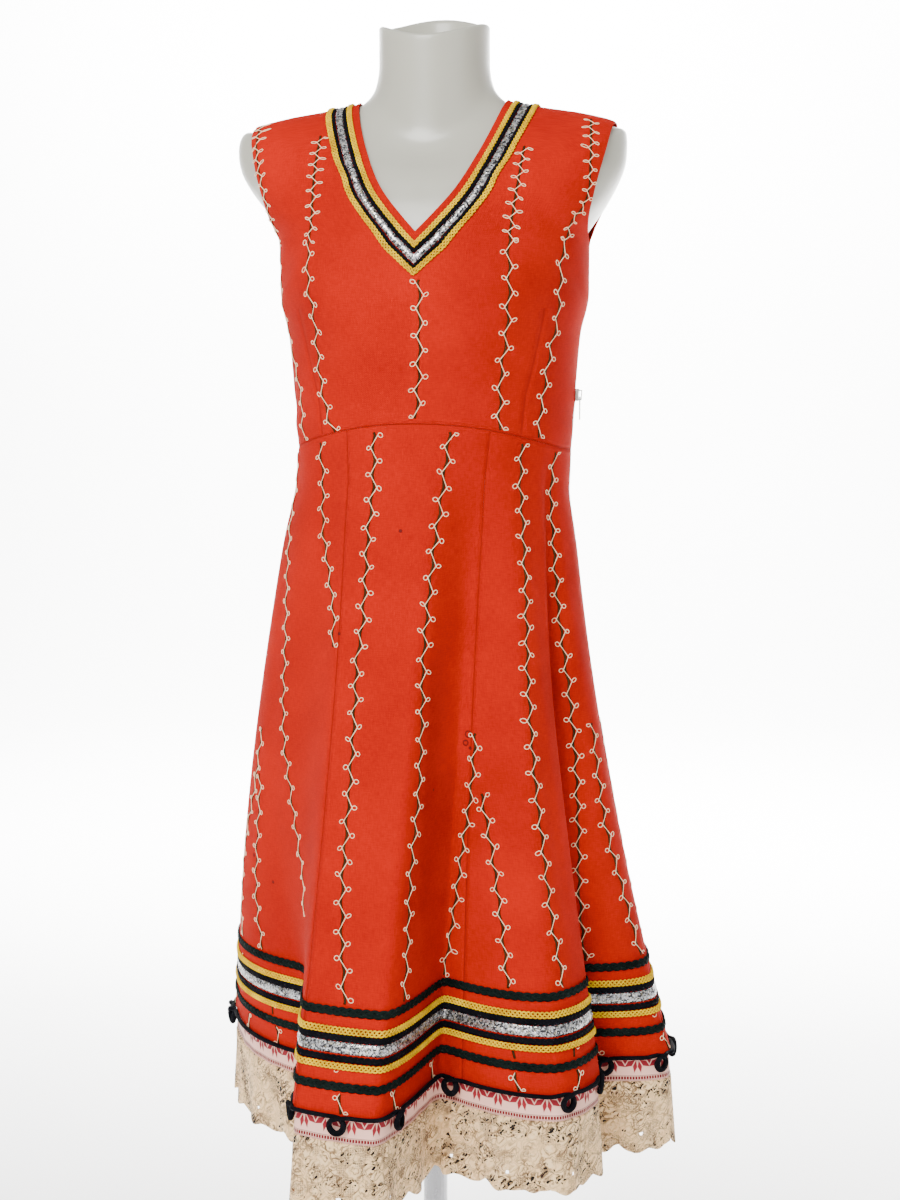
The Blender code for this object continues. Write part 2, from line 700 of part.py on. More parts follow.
def neck_offset(side_path, facing, distance):
    """The neckline moved away from the opening: mitred at the middle of the front."""
    angles = [(a if facing > 0 else 180.0 - a, level) for a, level in side_path]
    base = [body_base(a, level) for a, level in angles]
    moved = []
    for i, (angle, level) in enumerate(angles):
        before = base[max(i - 1, 0)]
        after = base[min(i + 1, len(base) - 1)]
        along = after - before
        if i == 0 and facing < 0:
            along = np.array([1.0, 0.0, 0.0])
        if i == len(base) - 1:
            along = np.array([0.0, float(facing), 0.0])
        along = along / np.linalg.norm(along)
        outward = np.cross(along, body_normal(angle, level)) * facing
        moved.append(step_on_body(angle, level, outward, distance))
    if facing > 0:
        first = body_base(*moved[0])
        second = body_base(*moved[1])
        slope = (second[2] - first[2]) / (second[0] - first[0])
        middle_z = float(first[2] - first[0] * slope)
        moved[0] = (0.0, level_at_height(0.0, middle_z))
    else:
        moved[0] = (180.0, moved[0][1])
    moved[-1] = (90.0, moved[-1][1])
    return moved


def neck_loop(distance):
    """Closed loop of (angle, level) round the neck at a distance from its edge."""
    front = neck_offset(neck_side("front_neck", 1, NECK_STEPS_FRONT), 1, distance)
    back = neck_offset(neck_side("back_neck", -1, NECK_STEPS_BACK), -1, distance)
    right = front + back[-2::-1]
    left = [(-angle, level) for angle, level in right[-2:0:-1]]
    return right + left


def neck_trim(name, near, width, rise, colour):
    far = near + width
    rings = []
    for distance, out in ((near, 0.0), (near + 0.5 * width, rise), (far, 0.0)):
        loop = neck_loop(distance)
        rings.append([body(a, level, WALL + NECK_TRIM_GAP + out) for a, level in loop])
    return closed_band(name, rings[::-1], colour)


def ribbon_ring(height):
    """Path of the ribbon's outer face: under the skirt's edge, then on along its slope."""
    if height >= 0.0:
        return skirt_ring(height)
    hem = skirt_ring(0.0)
    slope = (hem - skirt_ring(SLOPE_REACH)) / SLOPE_REACH
    ring = hem + slope * (-height) * RIBBON_FLARE
    ring[:, 2] = HEM_Z + height
    return ring


def half_walls(inner_rings, outer_rings, picks):
    """Inner and outer points of an open run of columns, its two ends drawn in."""
    inner = []
    outer = []
    for low, high in zip(inner_rings, outer_rings):
        for place, pick in enumerate(picks):
            shift = np.zeros(3)
            if place in (0, len(picks) - 1):
                near = picks[1] if place == 0 else picks[-2]
                shift = low[near] - low[pick]
                shift[2] = 0.0
                shift = shift / np.linalg.norm(shift) * HALF_GAP
            inner.append(low[pick] + shift)
            outer.append(high[pick] + shift)
    return inner, outer


def half_cell(row, column, wide):
    a = row * wide + column
    return [a + wide, a + wide + 1, a + 1, a]


def ribbon_half(name, inner_rings, outer_rings, first, last):
    picks = [i % len(inner_rings[0]) for i in range(first, last + 1)]
    inner, outer = half_walls(inner_rings, outer_rings, picks)
    wide = len(picks)
    cells = []
    for row in range(len(inner_rings) - 1):
        cells += [half_cell(row, column, wide) for column in range(wide - 1)]
    return wall(name, inner, outer, cells, "ribbon")


def ribbon():
    heights = (RIBBON_TUCK, 0.0, -RIBBON_DROP)
    rings = [ribbon_ring(height) for height in heights]
    outer = [moved_out(ring, -TUCK_GAP) for ring in rings]
    inner = [moved_out(ring, -TUCK_GAP - RIBBON_THICK) for ring in rings]
    half = 3 * GORE_COLUMNS
    ribbon_half("ribbon_front", inner, outer, 0, half)
    ribbon_half("ribbon_back", inner, outer, half, 2 * half)


def lace_angles():
    """Waist angles of the lace's columns, each half shared out evenly."""
    half = LACE_REPEATS * LACE_STEPS // 2
    front = even_angles(-90.0, 90.0, half)
    back = even_angles(90.0, 270.0, half)
    return list(front[:-1]) + list(back[:-1])


def lace_rings(angles):
    """Inner rings of the lace, from the ribbon down to the scallops."""
    reach = SLOPE_REACH / (SIDE_SEAM_Z - HEM_Z)
    hem = np.array([skirt_point(a, 1.0) for a in angles])
    above = np.array([skirt_point(a, 1.0 - reach) for a in angles])
    slope = (hem - above) / SLOPE_REACH
    top_z = HEM_Z - RIBBON_DROP - GAP
    rings = []
    for share in LACE_ROWS:
        ring = hem + slope * (RIBBON_DROP * RIBBON_FLARE + LACE_DROP * share * LACE_FLARE)
        step = np.arange(len(angles)) % LACE_STEPS
        wave = np.array(LACE_WAVE)[step] * share
        scallop = np.array(LACE_SCALLOP)[step] * (share ** 3)
        ring[:, 2] = top_z - LACE_DROP * share + scallop
        ring = moved_out(ring, -GAP - LACE_THICK)
        outward = moved_out(ring, 1.0) - ring
        ring[:, :2] += outward[:, :2] * wave[:, None]
        rings.append(ring)
    return rings


def cell_hole(inner, outer, cell, size):
    """Replace a cell by four round a hole of the given width and height."""
    result = []
    corners = [inner[i] for i in cell]
    middle = sum(corners) / 4.0
    wide = 0.25 * (np.linalg.norm(corners[1] - corners[0]) + np.linalg.norm(corners[2] - corners[3]))
    tall = 0.25 * (np.linalg.norm(corners[2] - corners[1]) + np.linalg.norm(corners[3] - corners[0]))
    ratio_x = 0.5 * size[0] / wide
    ratio_z = 0.5 * size[1] / tall
    hole = []
    outer_middle = sum(outer[i] for i in cell) / 4.0
    across = 0.25 * (corners[1] + corners[2] - corners[0] - corners[3])
    upward = 0.25 * (corners[3] + corners[2] - corners[0] - corners[1])
    for sign_x, sign_z in ((-1, -1), (1, -1), (1, 1), (-1, 1)):
        move = across * sign_x * ratio_x + upward * sign_z * ratio_z
        hole.append(len(inner))
        inner.append(middle + move)
        outer.append(outer_middle + move)
    for k in range(4):
        after = (k + 1) % 4
        result.append([cell[k], cell[after], hole[after], hole[k]])
    return result


def lace_half(name, inner_rings, outer_rings, angles, first, last):
    """Half of the flounce, with a hole in each repeat and the rip where it lies."""
    picks = [i % len(angles) for i in range(first, last + 1)]
    inner, outer = half_walls(inner_rings, outer_rings, picks)
    wide = len(picks)
    nearest = int(np.argmin([abs(angle - RIP_ANGLE) for angle in angles]))
    cells = []
    for row in range(len(inner_rings) - 1):
        for column in range(wide - 1):
            cell = half_cell(row, column, wide)
            if row == 1 and picks[column] % LACE_STEPS == LACE_HOLE_STEP:
                cells += cell_hole(inner, outer, cell, LACE_HOLE)
            elif row == 0 and picks[column] == nearest:
                cells += cell_hole(inner, outer, cell, RIP_HOLE)
            else:
                cells.append(cell)
    return wall(name, inner, outer, cells, "lace")


def lace():
    angles = lace_angles()
    inner = lace_rings(angles)
    outer = [moved_out(ring, LACE_THICK) for ring in inner]
    half = len(angles) // 2
    lace_half("lace_front", inner, outer, angles, 0, half)
    lace_half("lace_back", inner, outer, angles, half, 2 * half)


def cord_path():
    """Middle of the cord as points, and the outward direction at each of them."""
    ring = moved_out(skirt_ring(0.0), GAP + CORD_RADIUS)
    ring[:, 2] = HEM_Z - GAP - CORD_RADIUS
    loops = {int(np.argmin(np.abs(np.array(SKIRT_ANGLES) - angle))) for angle in LOOP_ANGLES}
    outward = moved_out(ring, 1.0) - ring
    points = []
    normals = []
    for column in range(len(ring)):
        points.append(ring[column])
        normals.append(outward[column])
        if column not in loops:
            continue
        end = ring[(column + 1) % len(ring)]
        along = (end - ring[column]) / np.linalg.norm(end - ring[column])
        across = np.array([along[1], -along[0], 0.0])
        middle = 0.5 * (ring[column] + end)
        for ahead, down, out in LOOP_STEPS:
            points.append(middle + along * ahead + across * out - np.array([0.0, 0.0, down]))
            normals.append(across)
    return np.array(points), np.array(normals)


def hem_cord():
    """The cord as one closed tube swept along its path, loops and all."""
    points, normals = cord_path()
    tangents = np.roll(points, -1, axis=0) - np.roll(points, 1, axis=0)
    tangents = tangents / np.linalg.norm(tangents, axis=1, keepdims=True)
    normals = normals - tangents * np.sum(normals * tangents, axis=1, keepdims=True)
    normals = normals / np.linalg.norm(normals, axis=1, keepdims=True)
    sides = np.cross(tangents, normals)
    rings = []
    for k in range(CORD_SIDES):
        turn = 2.0 * math.pi * k / CORD_SIDES
        rings.append(points + CORD_RADIUS * (normals * math.cos(turn) + sides * math.sin(turn)))
    closed_band("hem_cord_loops", rings[::-1], "black")


def hide_cutter(cutter):
    cutter.hide_render = True
    cutter.display_type = "WIRE"


def zip_side(z, out):
    """Point on the +X side seam at a height, on the bodice or on the skirt."""
    if z >= SIDE_SEAM_Z:
        point = body(90.0, level_at_height(90.0, z), out)
        return np.array([point[0], 0.0, z])
    drop = (SIDE_SEAM_Z - z) / (SIDE_SEAM_Z - HEM_Z)
    point = skirt_point(90.0, drop)
    return np.array([point[0] + out, point[1], z])


def zip_strip(name, half, low, high, colour):
    """Strip along the zip between two distances from the seam's inside."""
    below = SKIRT_ROWS[ZIP_SKIRT_ROWS:0:-1]
    heights = [SIDE_SEAM_Z - (SIDE_SEAM_Z - HEM_Z) * drop for drop in below]
    heights += [SIDE_SEAM_Z + rise for rise in LOWER_ROWS[:ZIP_BODICE_ROWS]]
    points_in = []
    points_out = []
    for z in heights:
        for side in (-1.0, 1.0):
            for out, store in ((low, points_in), (high, points_out)):
                point = zip_side(z, out)
                bow = half * half / (2.0 * ring_bow(z))
                store.append(np.array([point[0] - bow, point[1] + side * half, z]))
    cells = []
    for row in range(len(heights) - 1):
        a = 2 * row
        cells.append([a, a + 1, a + 3, a + 2])
    return wall(name, points_in, points_out, cells, colour)


def ring_bow(z):
    """Radius of the side of the waist, where the zip lies."""
    level = level_at_height(90.0, z)
    depth = 0.5 * float(ring_value("front", level) + ring_value("back", level))
    return depth * depth / float(ring_value("half_width", level))


def box(name, size, centre, colour, collection):
    bpy.ops.mesh.primitive_cube_add(size=1.0)
    made = bpy.context.object
    made.name = name
    made.data.name = name
    made.data.transform(Matrix.Diagonal((*size, 1.0)))
    made.data.transform(Matrix.Translation(centre))
    for holder in list(made.users_collection):
        holder.objects.unlink(made)
    collection.objects.link(made)
    if colour:
        made.data.materials.append(material(colour))
    return made


def cut(target, cutter, operation):
    hide_cutter(cutter)
    step = target.modifiers.new(cutter.name, "BOOLEAN")
    step.operation = operation
    step.solver = "EXACT"
    step.object = cutter


def zip_hardware():
    """Slider with its bridge, and the pull tab that hangs from the bridge."""
    body_x, body_y, body_z = SLIDER_SIZE
    upper = zip_side(SLIDER_Z + 0.5 * body_z, 0.0)
    lower = zip_side(SLIDER_Z - 0.5 * body_z, 0.0)
    lean = math.atan2(upper[0] - lower[0], body_z)
    foot = 0.5 * (upper[0] + lower[0]) + ZIP_CHAIN_THICK + GAP
    place = Matrix.Translation((foot, 0.0, SLIDER_Z)) @ Matrix.Rotation(lean, 4, "Y")
    bridge_x, bridge_y, bridge_z = BRIDGE_SIZE
    window_x, window_z = BRIDGE_WINDOW
    slider = box("zip_slider", SLIDER_SIZE, (0.5 * body_x, 0.0, 0.0), "zip", PARTS)
    bridge = box(
        "slider_bridge_tool", (bridge_x + BRIDGE_ROOT, bridge_y, bridge_z),
        (body_x + 0.5 * (bridge_x - BRIDGE_ROOT), 0.0, 0.0), None, CUTTERS,
    )
    window = box(
        "slider_window_tool", (window_x, 2.0 * body_y, window_z),
        (body_x + 0.5 * window_x, 0.0, 0.0), None, CUTTERS,
    )
    cut(slider, bridge, "UNION")
    cut(slider, window, "DIFFERENCE")
    pivot_x = body_x + 0.5 * window_x
    pull_x, pull_y, pull_z = PULL_SIZE
    open_y, open_z = PULL_WINDOW
    pull = box("zip_pull", PULL_SIZE, (0.0, 0.0, 0.5 * PULL_BAR - 0.5 * pull_z), "zip", PARTS)
    eye = box(
        "pull_window_tool", (4.0 * pull_x, open_y, open_z),
        (0.0, 0.0, -0.5 * PULL_BAR - 0.5 * open_z), None, CUTTERS,
    )
    cut(pull, eye, "DIFFERENCE")
    pivot = place @ Vector((pivot_x, 0.0, -PULL_LOW))
    for piece in (slider, bridge, window):
        piece.matrix_world = place
    for piece in (pull, eye):
        piece.matrix_world = Matrix.Translation(pivot)


def side_zip():
    zip_strip("zip_tape", ZIP_TAPE_HALF, -ZIP_TAPE_SUNK - ZIP_TAPE_THICK, -ZIP_TAPE_SUNK, "tape")
    zip_strip("zip_chain", ZIP_CHAIN_HALF, -ZIP_CHAIN_SUNK, ZIP_CHAIN_THICK, "zip")
    zip_hardware()


def form_ring(level):
    angles = -360.0 * np.arange(FORM_COLUMNS) / FORM_COLUMNS
    wrapped = (angles + 180.0) % 360.0 - 180.0
    level = min(level, RING_KNOTS[-1] - 1e-6)
    ease = float(ring_value("ease", level))
    levels = np.full(FORM_COLUMNS, level)
    return body(wrapped, levels, -ease)


def form_torso():
    """Torso from its flat end at the hips up to a rounded lip and a shallow dish."""
    rings = [form_ring(level) for level in FORM_RINGS]
    top = rings[-1]
    middle = top.mean(axis=0)
    tilt = np.cross(top[0] - middle, top[FORM_COLUMNS // 4] - middle)
    tilt = tilt / np.linalg.norm(tilt)
    tilt = tilt if tilt[2] > 0.0 else -tilt
    for inset, rise in LIP_STEPS:
        inward = middle - top
        inward = inward / np.linalg.norm(inward, axis=1, keepdims=True)
        rings.append(top + inward * inset + tilt * rise)
    count = FORM_COLUMNS
    points = [point for ring in rings for point in ring]
    faces = [list(range(count))]
    for k in range(len(rings) - 1):
        for i in range(count):
            j = (i + 1) % count
            faces.append([k * count + i, (k + 1) * count + i, (k + 1) * count + j, k * count + j])
    last = (len(rings) - 1) * count
    faces.append([last + i for i in reversed(range(count))])
    return add_mesh("form_torso", points, faces, "form")


def stand():
    """Round weighted base with a hub, and a plain pole up to the form."""
    profile = (
        (0.0, HUB_TOP), (HUB_RADIUS - 0.004, HUB_TOP), (HUB_RADIUS, HUB_TOP - 0.004),
        (HUB_RADIUS, BASE_THICK), (BASE_RADIUS - BASE_EDGE, BASE_THICK),
        (BASE_RADIUS, BASE_THICK - BASE_EDGE), (BASE_RADIUS, 0.0), (0.0, 0.0),
    )
    mesh = bpy.data.meshes.new("stand_base")
    edges = [(i, i + 1) for i in range(len(profile) - 1)]
    mesh.from_pydata([(x, 0.0, z) for x, z in profile], edges, [])
    mesh.materials.append(material("steel"))
    base = bpy.data.objects.new("stand_base", mesh)
    PARTS.objects.link(base)
    turn = base.modifiers.new("turn", "SCREW")
    turn.steps = 32
    turn.render_steps = 32
    turn.use_merge_vertices = True
    turn.merge_threshold = 0.00005
    turn.use_smooth_shade = False
    low = HUB_TOP + GAP
    high = RINGS[0][0] - GAP
    bpy.ops.mesh.primitive_cylinder_add(
        vertices=20, radius=POLE_RADIUS, depth=high - low, location=(0.0, 0.0, 0.5 * (low + high))
    )
    pole = bpy.context.object
    pole.name = "stand_pole"
    pole.data.name = "stand_pole"
    pole.data.materials.append(material("steel"))
    for holder in list(pole.users_collection):
        holder.objects.unlink(pole)
    PARTS.objects.link(pole)


clear_scene()
PARTS = new_collection("sukman_dress_on_form")
CUTTERS = new_collection("cutters", hidden=True)
form_torso()
stand()
bodice_panel("bodice_front", 1)
bodice_panel("bodice_back", -1)
for gore in range(len(GORE_NAMES)):
    skirt_gore(gore)
for trim in NECK_TRIMS:
    neck_trim(*trim)
for trim in HEM_TRIMS:
    hem_trim(*trim)
hem_cord()
ribbon()
lace()
side_zip()
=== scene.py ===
"""Looks of a sukman dress on a limbless dress form: cloth, braid, embroidery, ribbon, lace."""

import math
import random

import bpy
import numpy as np
from mathutils import Matrix, Vector


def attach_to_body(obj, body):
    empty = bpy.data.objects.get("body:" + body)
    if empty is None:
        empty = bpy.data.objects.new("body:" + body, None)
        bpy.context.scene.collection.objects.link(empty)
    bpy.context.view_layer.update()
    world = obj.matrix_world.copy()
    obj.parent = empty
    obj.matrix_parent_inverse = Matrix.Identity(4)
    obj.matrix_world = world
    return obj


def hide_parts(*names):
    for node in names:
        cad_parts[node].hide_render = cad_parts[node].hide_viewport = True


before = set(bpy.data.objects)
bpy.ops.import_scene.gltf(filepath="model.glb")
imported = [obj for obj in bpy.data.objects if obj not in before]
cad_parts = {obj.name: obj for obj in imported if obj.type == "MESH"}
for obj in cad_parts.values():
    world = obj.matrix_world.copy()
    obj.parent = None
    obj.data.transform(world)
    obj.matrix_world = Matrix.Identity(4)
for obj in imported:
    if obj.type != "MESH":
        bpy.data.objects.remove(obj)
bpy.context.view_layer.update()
BODY = "dress_on_form"
TAU = 2.0 * math.pi

# Camera at the photo's angle
CAMERA_ANGLE = math.radians(9.0)
CAMERA_DISTANCE = 1.95
CAMERA_HEIGHT = 1.10
CAMERA_AIM = 0.865
CAMERA_SIDE = 0.015
CAMERA_LENS = 58.5

# Cloth sizes, the same as in the CAD source. Below the waist the shape is a newer fit than the
# CAD source's: the ease of the first three RINGS, SKIRT_HALF_WIDTH, both FLARE_POWERs and FOLDS.
WALL = 0.0015
GAP = 0.0003
HALF_GAP = 0.5 * GAP
TUCK_GAP = 0.0008
RIBBON_THICK = 0.0010
LACE_THICK = 0.0010
HEM_Z = 0.420
SIDE_SEAM_Z = 1.018
UNDERARM_Z = 1.215
FRONT_ARCH = 0.027
BACK_ARCH = 0.004
RIBBON_DROP = 0.025
RIBBON_TUCK = 0.006
RIBBON_FLARE = 0.3
SLOPE_REACH = 0.04
LACE_DROP = 0.068

RING_COLUMNS = ("side_z", "front_z", "back_z", "half_width", "front", "back", "square", "ease")
RINGS = (
    (0.800, 0.800, 0.800, 0.158, 0.112, 0.118, 2.00, 0.0220),
    (0.870, 0.870, 0.870, 0.151, 0.112, 0.113, 2.00, 0.0170),
    (0.930, 0.930, 0.930, 0.1415, 0.110, 0.106, 2.02, 0.0140),
    (0.985, 0.985, 0.985, 0.1325, 0.108, 0.098, 2.05, 0.0140),
    (1.040, 1.040, 1.040, 0.1365, 0.109, 0.094, 2.10, 0.0140),
    (1.090, 1.090, 1.090, 0.1395, 0.113, 0.095, 2.12, 0.0120),
    (1.130, 1.130, 1.130, 0.1430, 0.118, 0.099, 2.15, 0.0090),
    (1.170, 1.170, 1.170, 0.1510, 0.120, 0.103, 2.18, 0.0060),
    (1.215, 1.215, 1.215, 0.1510, 0.113, 0.107, 2.20, 0.0040),
    (1.255, 1.235, 1.245, 0.1720, 0.106, 0.109, 2.25, 0.0030),
    (1.296, 1.252, 1.270, 0.1850, 0.099, 0.108, 2.30, 0.0030),
    (1.321, 1.266, 1.290, 0.1860, 0.092, 0.104, 2.25, 0.0034),
    (1.331, 1.276, 1.302, 0.1770, 0.086, 0.098, 2.20, 0.0032),
    (1.340, 1.285, 1.313, 0.1450, 0.079, 0.089, 2.10, 0.0028),
    (1.346, 1.293, 1.325, 0.1080, 0.071, 0.078, 2.05, 0.0025),
    (1.352, 1.303, 1.338, 0.0770, 0.063, 0.066, 2.00, 0.0018),
    (1.368, 1.322, 1.357, 0.0595, 0.0555, 0.057, 2.00, 0.0012),
    (1.392, 1.365, 1.398, 0.0540, 0.0530, 0.0535, 2.00, 0.0000),
    (1.4245, 1.409, 1.440, 0.0540, 0.0530, 0.0530, 2.00, 0.0000),
)
UNDERARM_RING = 8.0
TIP_RING = 12.0
LAST_RING = 15.0
BLEND_RING = 13.3
BUST_Z = 1.165
BUST_TALL = 0.042
BUST_ANGLE = 33.0
BUST_WIDE = 20.0
BUST_RISE = 0.009

FRONT_NECK = (
    (1.2235, 0.0), (1.236, 0.0120), (1.266, 0.0365),
    (1.300, 0.0540), (1.330, 0.0655), (1.3535, 0.0725),
)
BACK_NECK = (
    (1.3250, 0.0), (1.3275, 0.0240), (1.334, 0.0450), (1.343, 0.0610), (1.3535, 0.0725),
)
FRONT_ARMHOLE = (
    (1.215, 0.1510), (1.230, 0.1525), (1.262, 0.1600), (1.296, 0.1690), (1.331, 0.1770),
)
BACK_ARMHOLE = (
    (1.215, 0.1510), (1.230, 0.1530), (1.262, 0.1640), (1.296, 0.1720), (1.331, 0.1770),
)

SKIRT_HALF_WIDTH = 0.237
SKIRT_DEPTH = 0.200
SKIRT_MIDDLE = (-0.003, -0.003)
FLARE_POWER = 1.49
FLARE_POWER_LEFT = 0.98
WAIST_DIP = 0.003
DIP_AT = 0.07
DIP_WIDE = 0.06
GORE_SEAMS = (-90.0, -29.0, 29.0, 90.0, 151.0, 209.0, 270.0)
GORE_NAMES = ("left_side", "front", "right_side", "back_right", "back", "back_left")
FOLD_COLUMNS = (
    "waist_start", "waist_end", "hem_start", "hem_end", "crest_start", "crest_end",
    "valley_waist", "valley_hem", "valley_radius", "growth",
)
FOLDS = (
    (-27.2, 5.5, -20.2, -3.7, 0.254, 0.255, 24.4, 11.9, 0.134, 1.0),
    (40.4, 56.0, 42.2, 57.8, 0.224, 0.210, 63.0, 64.8, 0.165, 1.0),
    (90.0, 106.0, 82.0, 94.0, 0.243, 0.233, 126.5, 122.0, 0.195, 4.0),
    (147.0, 160.0, 143.0, 158.0, 0.226, 0.240, 181.0, 184.0, 0.168, 1.7),
    (199.0, 212.0, 200.0, 216.0, 0.232, 0.240, 233.0, 236.0, 0.182, 1.7),
    (246.3, 279.0, 252.8, 270.1, 0.231, 0.206, 301.0, 320.3, 0.137, 3.0),
)


def attach(piece, *nodes, body=BODY, slot=None):
    """Tie a piece to its body and hide the solids that it stands for. The slot is not used."""
    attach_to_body(piece, body)
    if nodes:
        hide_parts(*nodes)
    return piece


def unit(vectors):
    """Vectors scaled to length 1."""
    return vectors / np.linalg.norm(vectors, axis=-1, keepdims=True)


def wrap(angle):
    """The same angle between -180 and 180 degrees."""
    return (angle + 180.0) % 360.0 - 180.0


def run_lengths(points):
    """Distance along a path at each of its points."""
    return np.concatenate([[0.0], np.cumsum(np.linalg.norm(np.diff(points, axis=0), axis=1))])


class SoftCurve:
    """A smooth curve through its knots that never swings past them."""

    def __init__(self, knots, values):
        self.knots = np.asarray(knots, float)
        self.values = np.asarray(values, float)
        self.steps = np.diff(self.knots)
        rises = np.diff(self.values) / self.steps
        same = rises[:-1] * rises[1:] > 0.0
        total = np.where(same, rises[:-1] + rises[1:], 1.0)
        middle = np.where(same, 2.0 * rises[:-1] * rises[1:] / total, 0.0)
        self.slopes = np.concatenate([rises[:1], middle, rises[-1:]])

    def __call__(self, at):
        at = np.clip(np.asarray(at, float), self.knots[0], self.knots[-1])
        cell = np.clip(np.searchsorted(self.knots, at, side="right") - 1, 0, len(self.steps) - 1)
        step = self.steps[cell]
        t = (at - self.knots[cell]) / step
        left = self.slopes[cell]
        right = self.slopes[cell + 1]
        ends = self.values[cell] * (1 + 2 * t) * (1 - t) ** 2
        ends = ends + self.values[cell + 1] * t * t * (3 - 2 * t)
        return ends + step * (left * t * (1 - t) ** 2 - right * t * t * (1 - t))


RING_KNOTS = np.arange(len(RINGS), dtype=float)
RING_CURVES = {
    name: SoftCurve(RING_KNOTS, [row[i] for row in RINGS]) for i, name in enumerate(RING_COLUMNS)
}


def ring_value(name, level):
    return RING_CURVES[name](level)


def body_base(angle, level):
    """Point of the smooth body surface at an angle (degrees) and a ring level."""
    turn = np.radians(angle)
    s = np.sin(turn)
    c = np.cos(turn)
    power = 2.0 / ring_value("square", level)
    facing = c > 0.0
    depth = np.where(facing, ring_value("front", level), ring_value("back", level))
    end_z = np.where(facing, ring_value("front_z", level), ring_value("back_z", level))
    x = ring_value("half_width", level) * np.sign(s) * np.abs(s) ** power
    y = -depth * np.sign(c) * np.abs(c) ** power
    z = ring_value("side_z", level) * s * s + end_z * c * c
    spread = ((np.abs(angle) - BUST_ANGLE) / BUST_WIDE) ** 2 + ((z - BUST_Z) / BUST_TALL) ** 2
    y = y - BUST_RISE * np.exp(-spread)
    return np.stack([x, y, z], axis=-1)


def body_normal(angle, level):
    along = body_base(angle + 0.5, level) - body_base(angle - 0.5, level)
    up = body_base(angle, np.minimum(level + 0.02, RING_KNOTS[-1]))
    up = up - body_base(angle, np.maximum(level - 0.02, 0.0))
    normal = np.cross(along, up)
    share = np.clip(level - UNDERARM_RING, 0.0, 1.0)
    normal[..., 2] = normal[..., 2] * share
    return unit(normal)


def body(angle, level, out=0.0):
    """Inside of the bodice moved out. Out may be one number or one for each point."""
    angle = np.asarray(angle, float)
    level = np.asarray(level, float)
    angle, level = np.broadcast_arrays(angle, level)
    out = np.broadcast_to(np.asarray(out, float), angle.shape)
    return body_base(angle, level) + body_normal(angle, level) * out[..., None]


def bisect(rising, low, high):
    for _ in range(40):
        middle = 0.5 * (low + high)
        if rising(middle) > 0.0:
            high = middle
        else:
            low = middle
    return 0.5 * (low + high)


FINE_LEVELS = np.linspace(0.0, UNDERARM_RING, 4001)
FINE_HEIGHTS = ring_value("side_z", FINE_LEVELS)


def low_level(z):
    """Ring level of a height below the underarm, where rings are flat."""
    return np.interp(z, FINE_HEIGHTS, FINE_LEVELS)


CUT_EDGES = {
    "front_neck": SoftCurve(*zip(*FRONT_NECK)),
    "back_neck": SoftCurve(*zip(*BACK_NECK)),
    "front_armhole": SoftCurve(*zip(*FRONT_ARMHOLE)),
    "back_armhole": SoftCurve(*zip(*BACK_ARMHOLE)),
}


def edge_gap(angle, level, edge):
    point = body_base(angle, level)
    return np.abs(point[..., 0]) - CUT_EDGES[edge](point[..., 2])


def many_bisect(rising, low, high):
    """Bisection on whole arrays at once."""
    low = np.array(low, float)
    high = np.array(high, float)
    for _ in range(40):
        middle = 0.5 * (low + high)
        above = rising(middle) > 0.0
        high = np.where(above, middle, high)
        low = np.where(above, low, middle)
    return 0.5 * (low + high)


def edge_angles(levels, edge, facing):
    """Angles away from the middle where rings cross a cut edge."""
    levels = np.asarray(levels, float)
    low = np.zeros_like(levels)
    high = np.full_like(levels, 90.0)
    if facing > 0:
        return many_bisect(lambda a: edge_gap(a, levels, edge), low, high)
    return many_bisect(lambda a: edge_gap(180.0 - a, levels, edge), low, high)


def neck_levels(away, edge, facing):
    """Ring levels where the neckline crosses angles counted from the middle."""
    away = np.asarray(away, float)
    angle = away if facing > 0 else 180.0 - away
    low = np.full_like(away, 13.5)
    high = np.full_like(away, 16.0)
    return many_bisect(lambda level: -edge_gap(angle, level, edge), low, high)


V_TIP_LEVEL = bisect(lambda level: float(body_base(0.0, level)[2]) - FRONT_NECK[0][0], 8.0, 15.0)
NAPE_LEVEL = bisect(lambda level: float(body_base(180.0, level)[2]) - BACK_NECK[0][0], 8.0, 15.0)


def seam_z(angle):
    """Height of the waist seam, arched up at the front."""
    c = np.cos(np.radians(angle))
    arch = np.where(c > 0.0, FRONT_ARCH, BACK_ARCH)
    return SIDE_SEAM_Z + arch * c * c


FOLD_KNOT_COLUMNS = (
    ("waist_start", "hem_start", "crest_start"), ("waist_end", "hem_end", "crest_end"),
    ("valley_waist", "valley_hem", "valley_radius"),
)


def fold_knots():
    knots = []
    for row in FOLDS:
        value = dict(zip(FOLD_COLUMNS, row))
        for names in FOLD_KNOT_COLUMNS:
            knots.append(tuple(value[name] for name in names) + (value["growth"],))
    before = [(w - 360.0, h - 360.0, r, g) for w, h, r, g in knots[-6:]]
    after = [(w + 360.0, h + 360.0, r, g) for w, h, r, g in knots[:6]]
    return np.array(before + knots + after)


FOLD_KNOTS = fold_knots()
FOLD_ANGLE = SoftCurve(FOLD_KNOTS[:, 0], FOLD_KNOTS[:, 1])
FOLD_RADIUS = SoftCurve(FOLD_KNOTS[:, 0], FOLD_KNOTS[:, 2])
FOLD_GROWTH = SoftCurve(FOLD_KNOTS[:, 0], FOLD_KNOTS[:, 3])


def hem_plan(angle):
    turn = np.radians(FOLD_ANGLE(angle))
    radius = FOLD_RADIUS(angle)
    return radius * np.sin(turn), -radius * np.cos(turn)


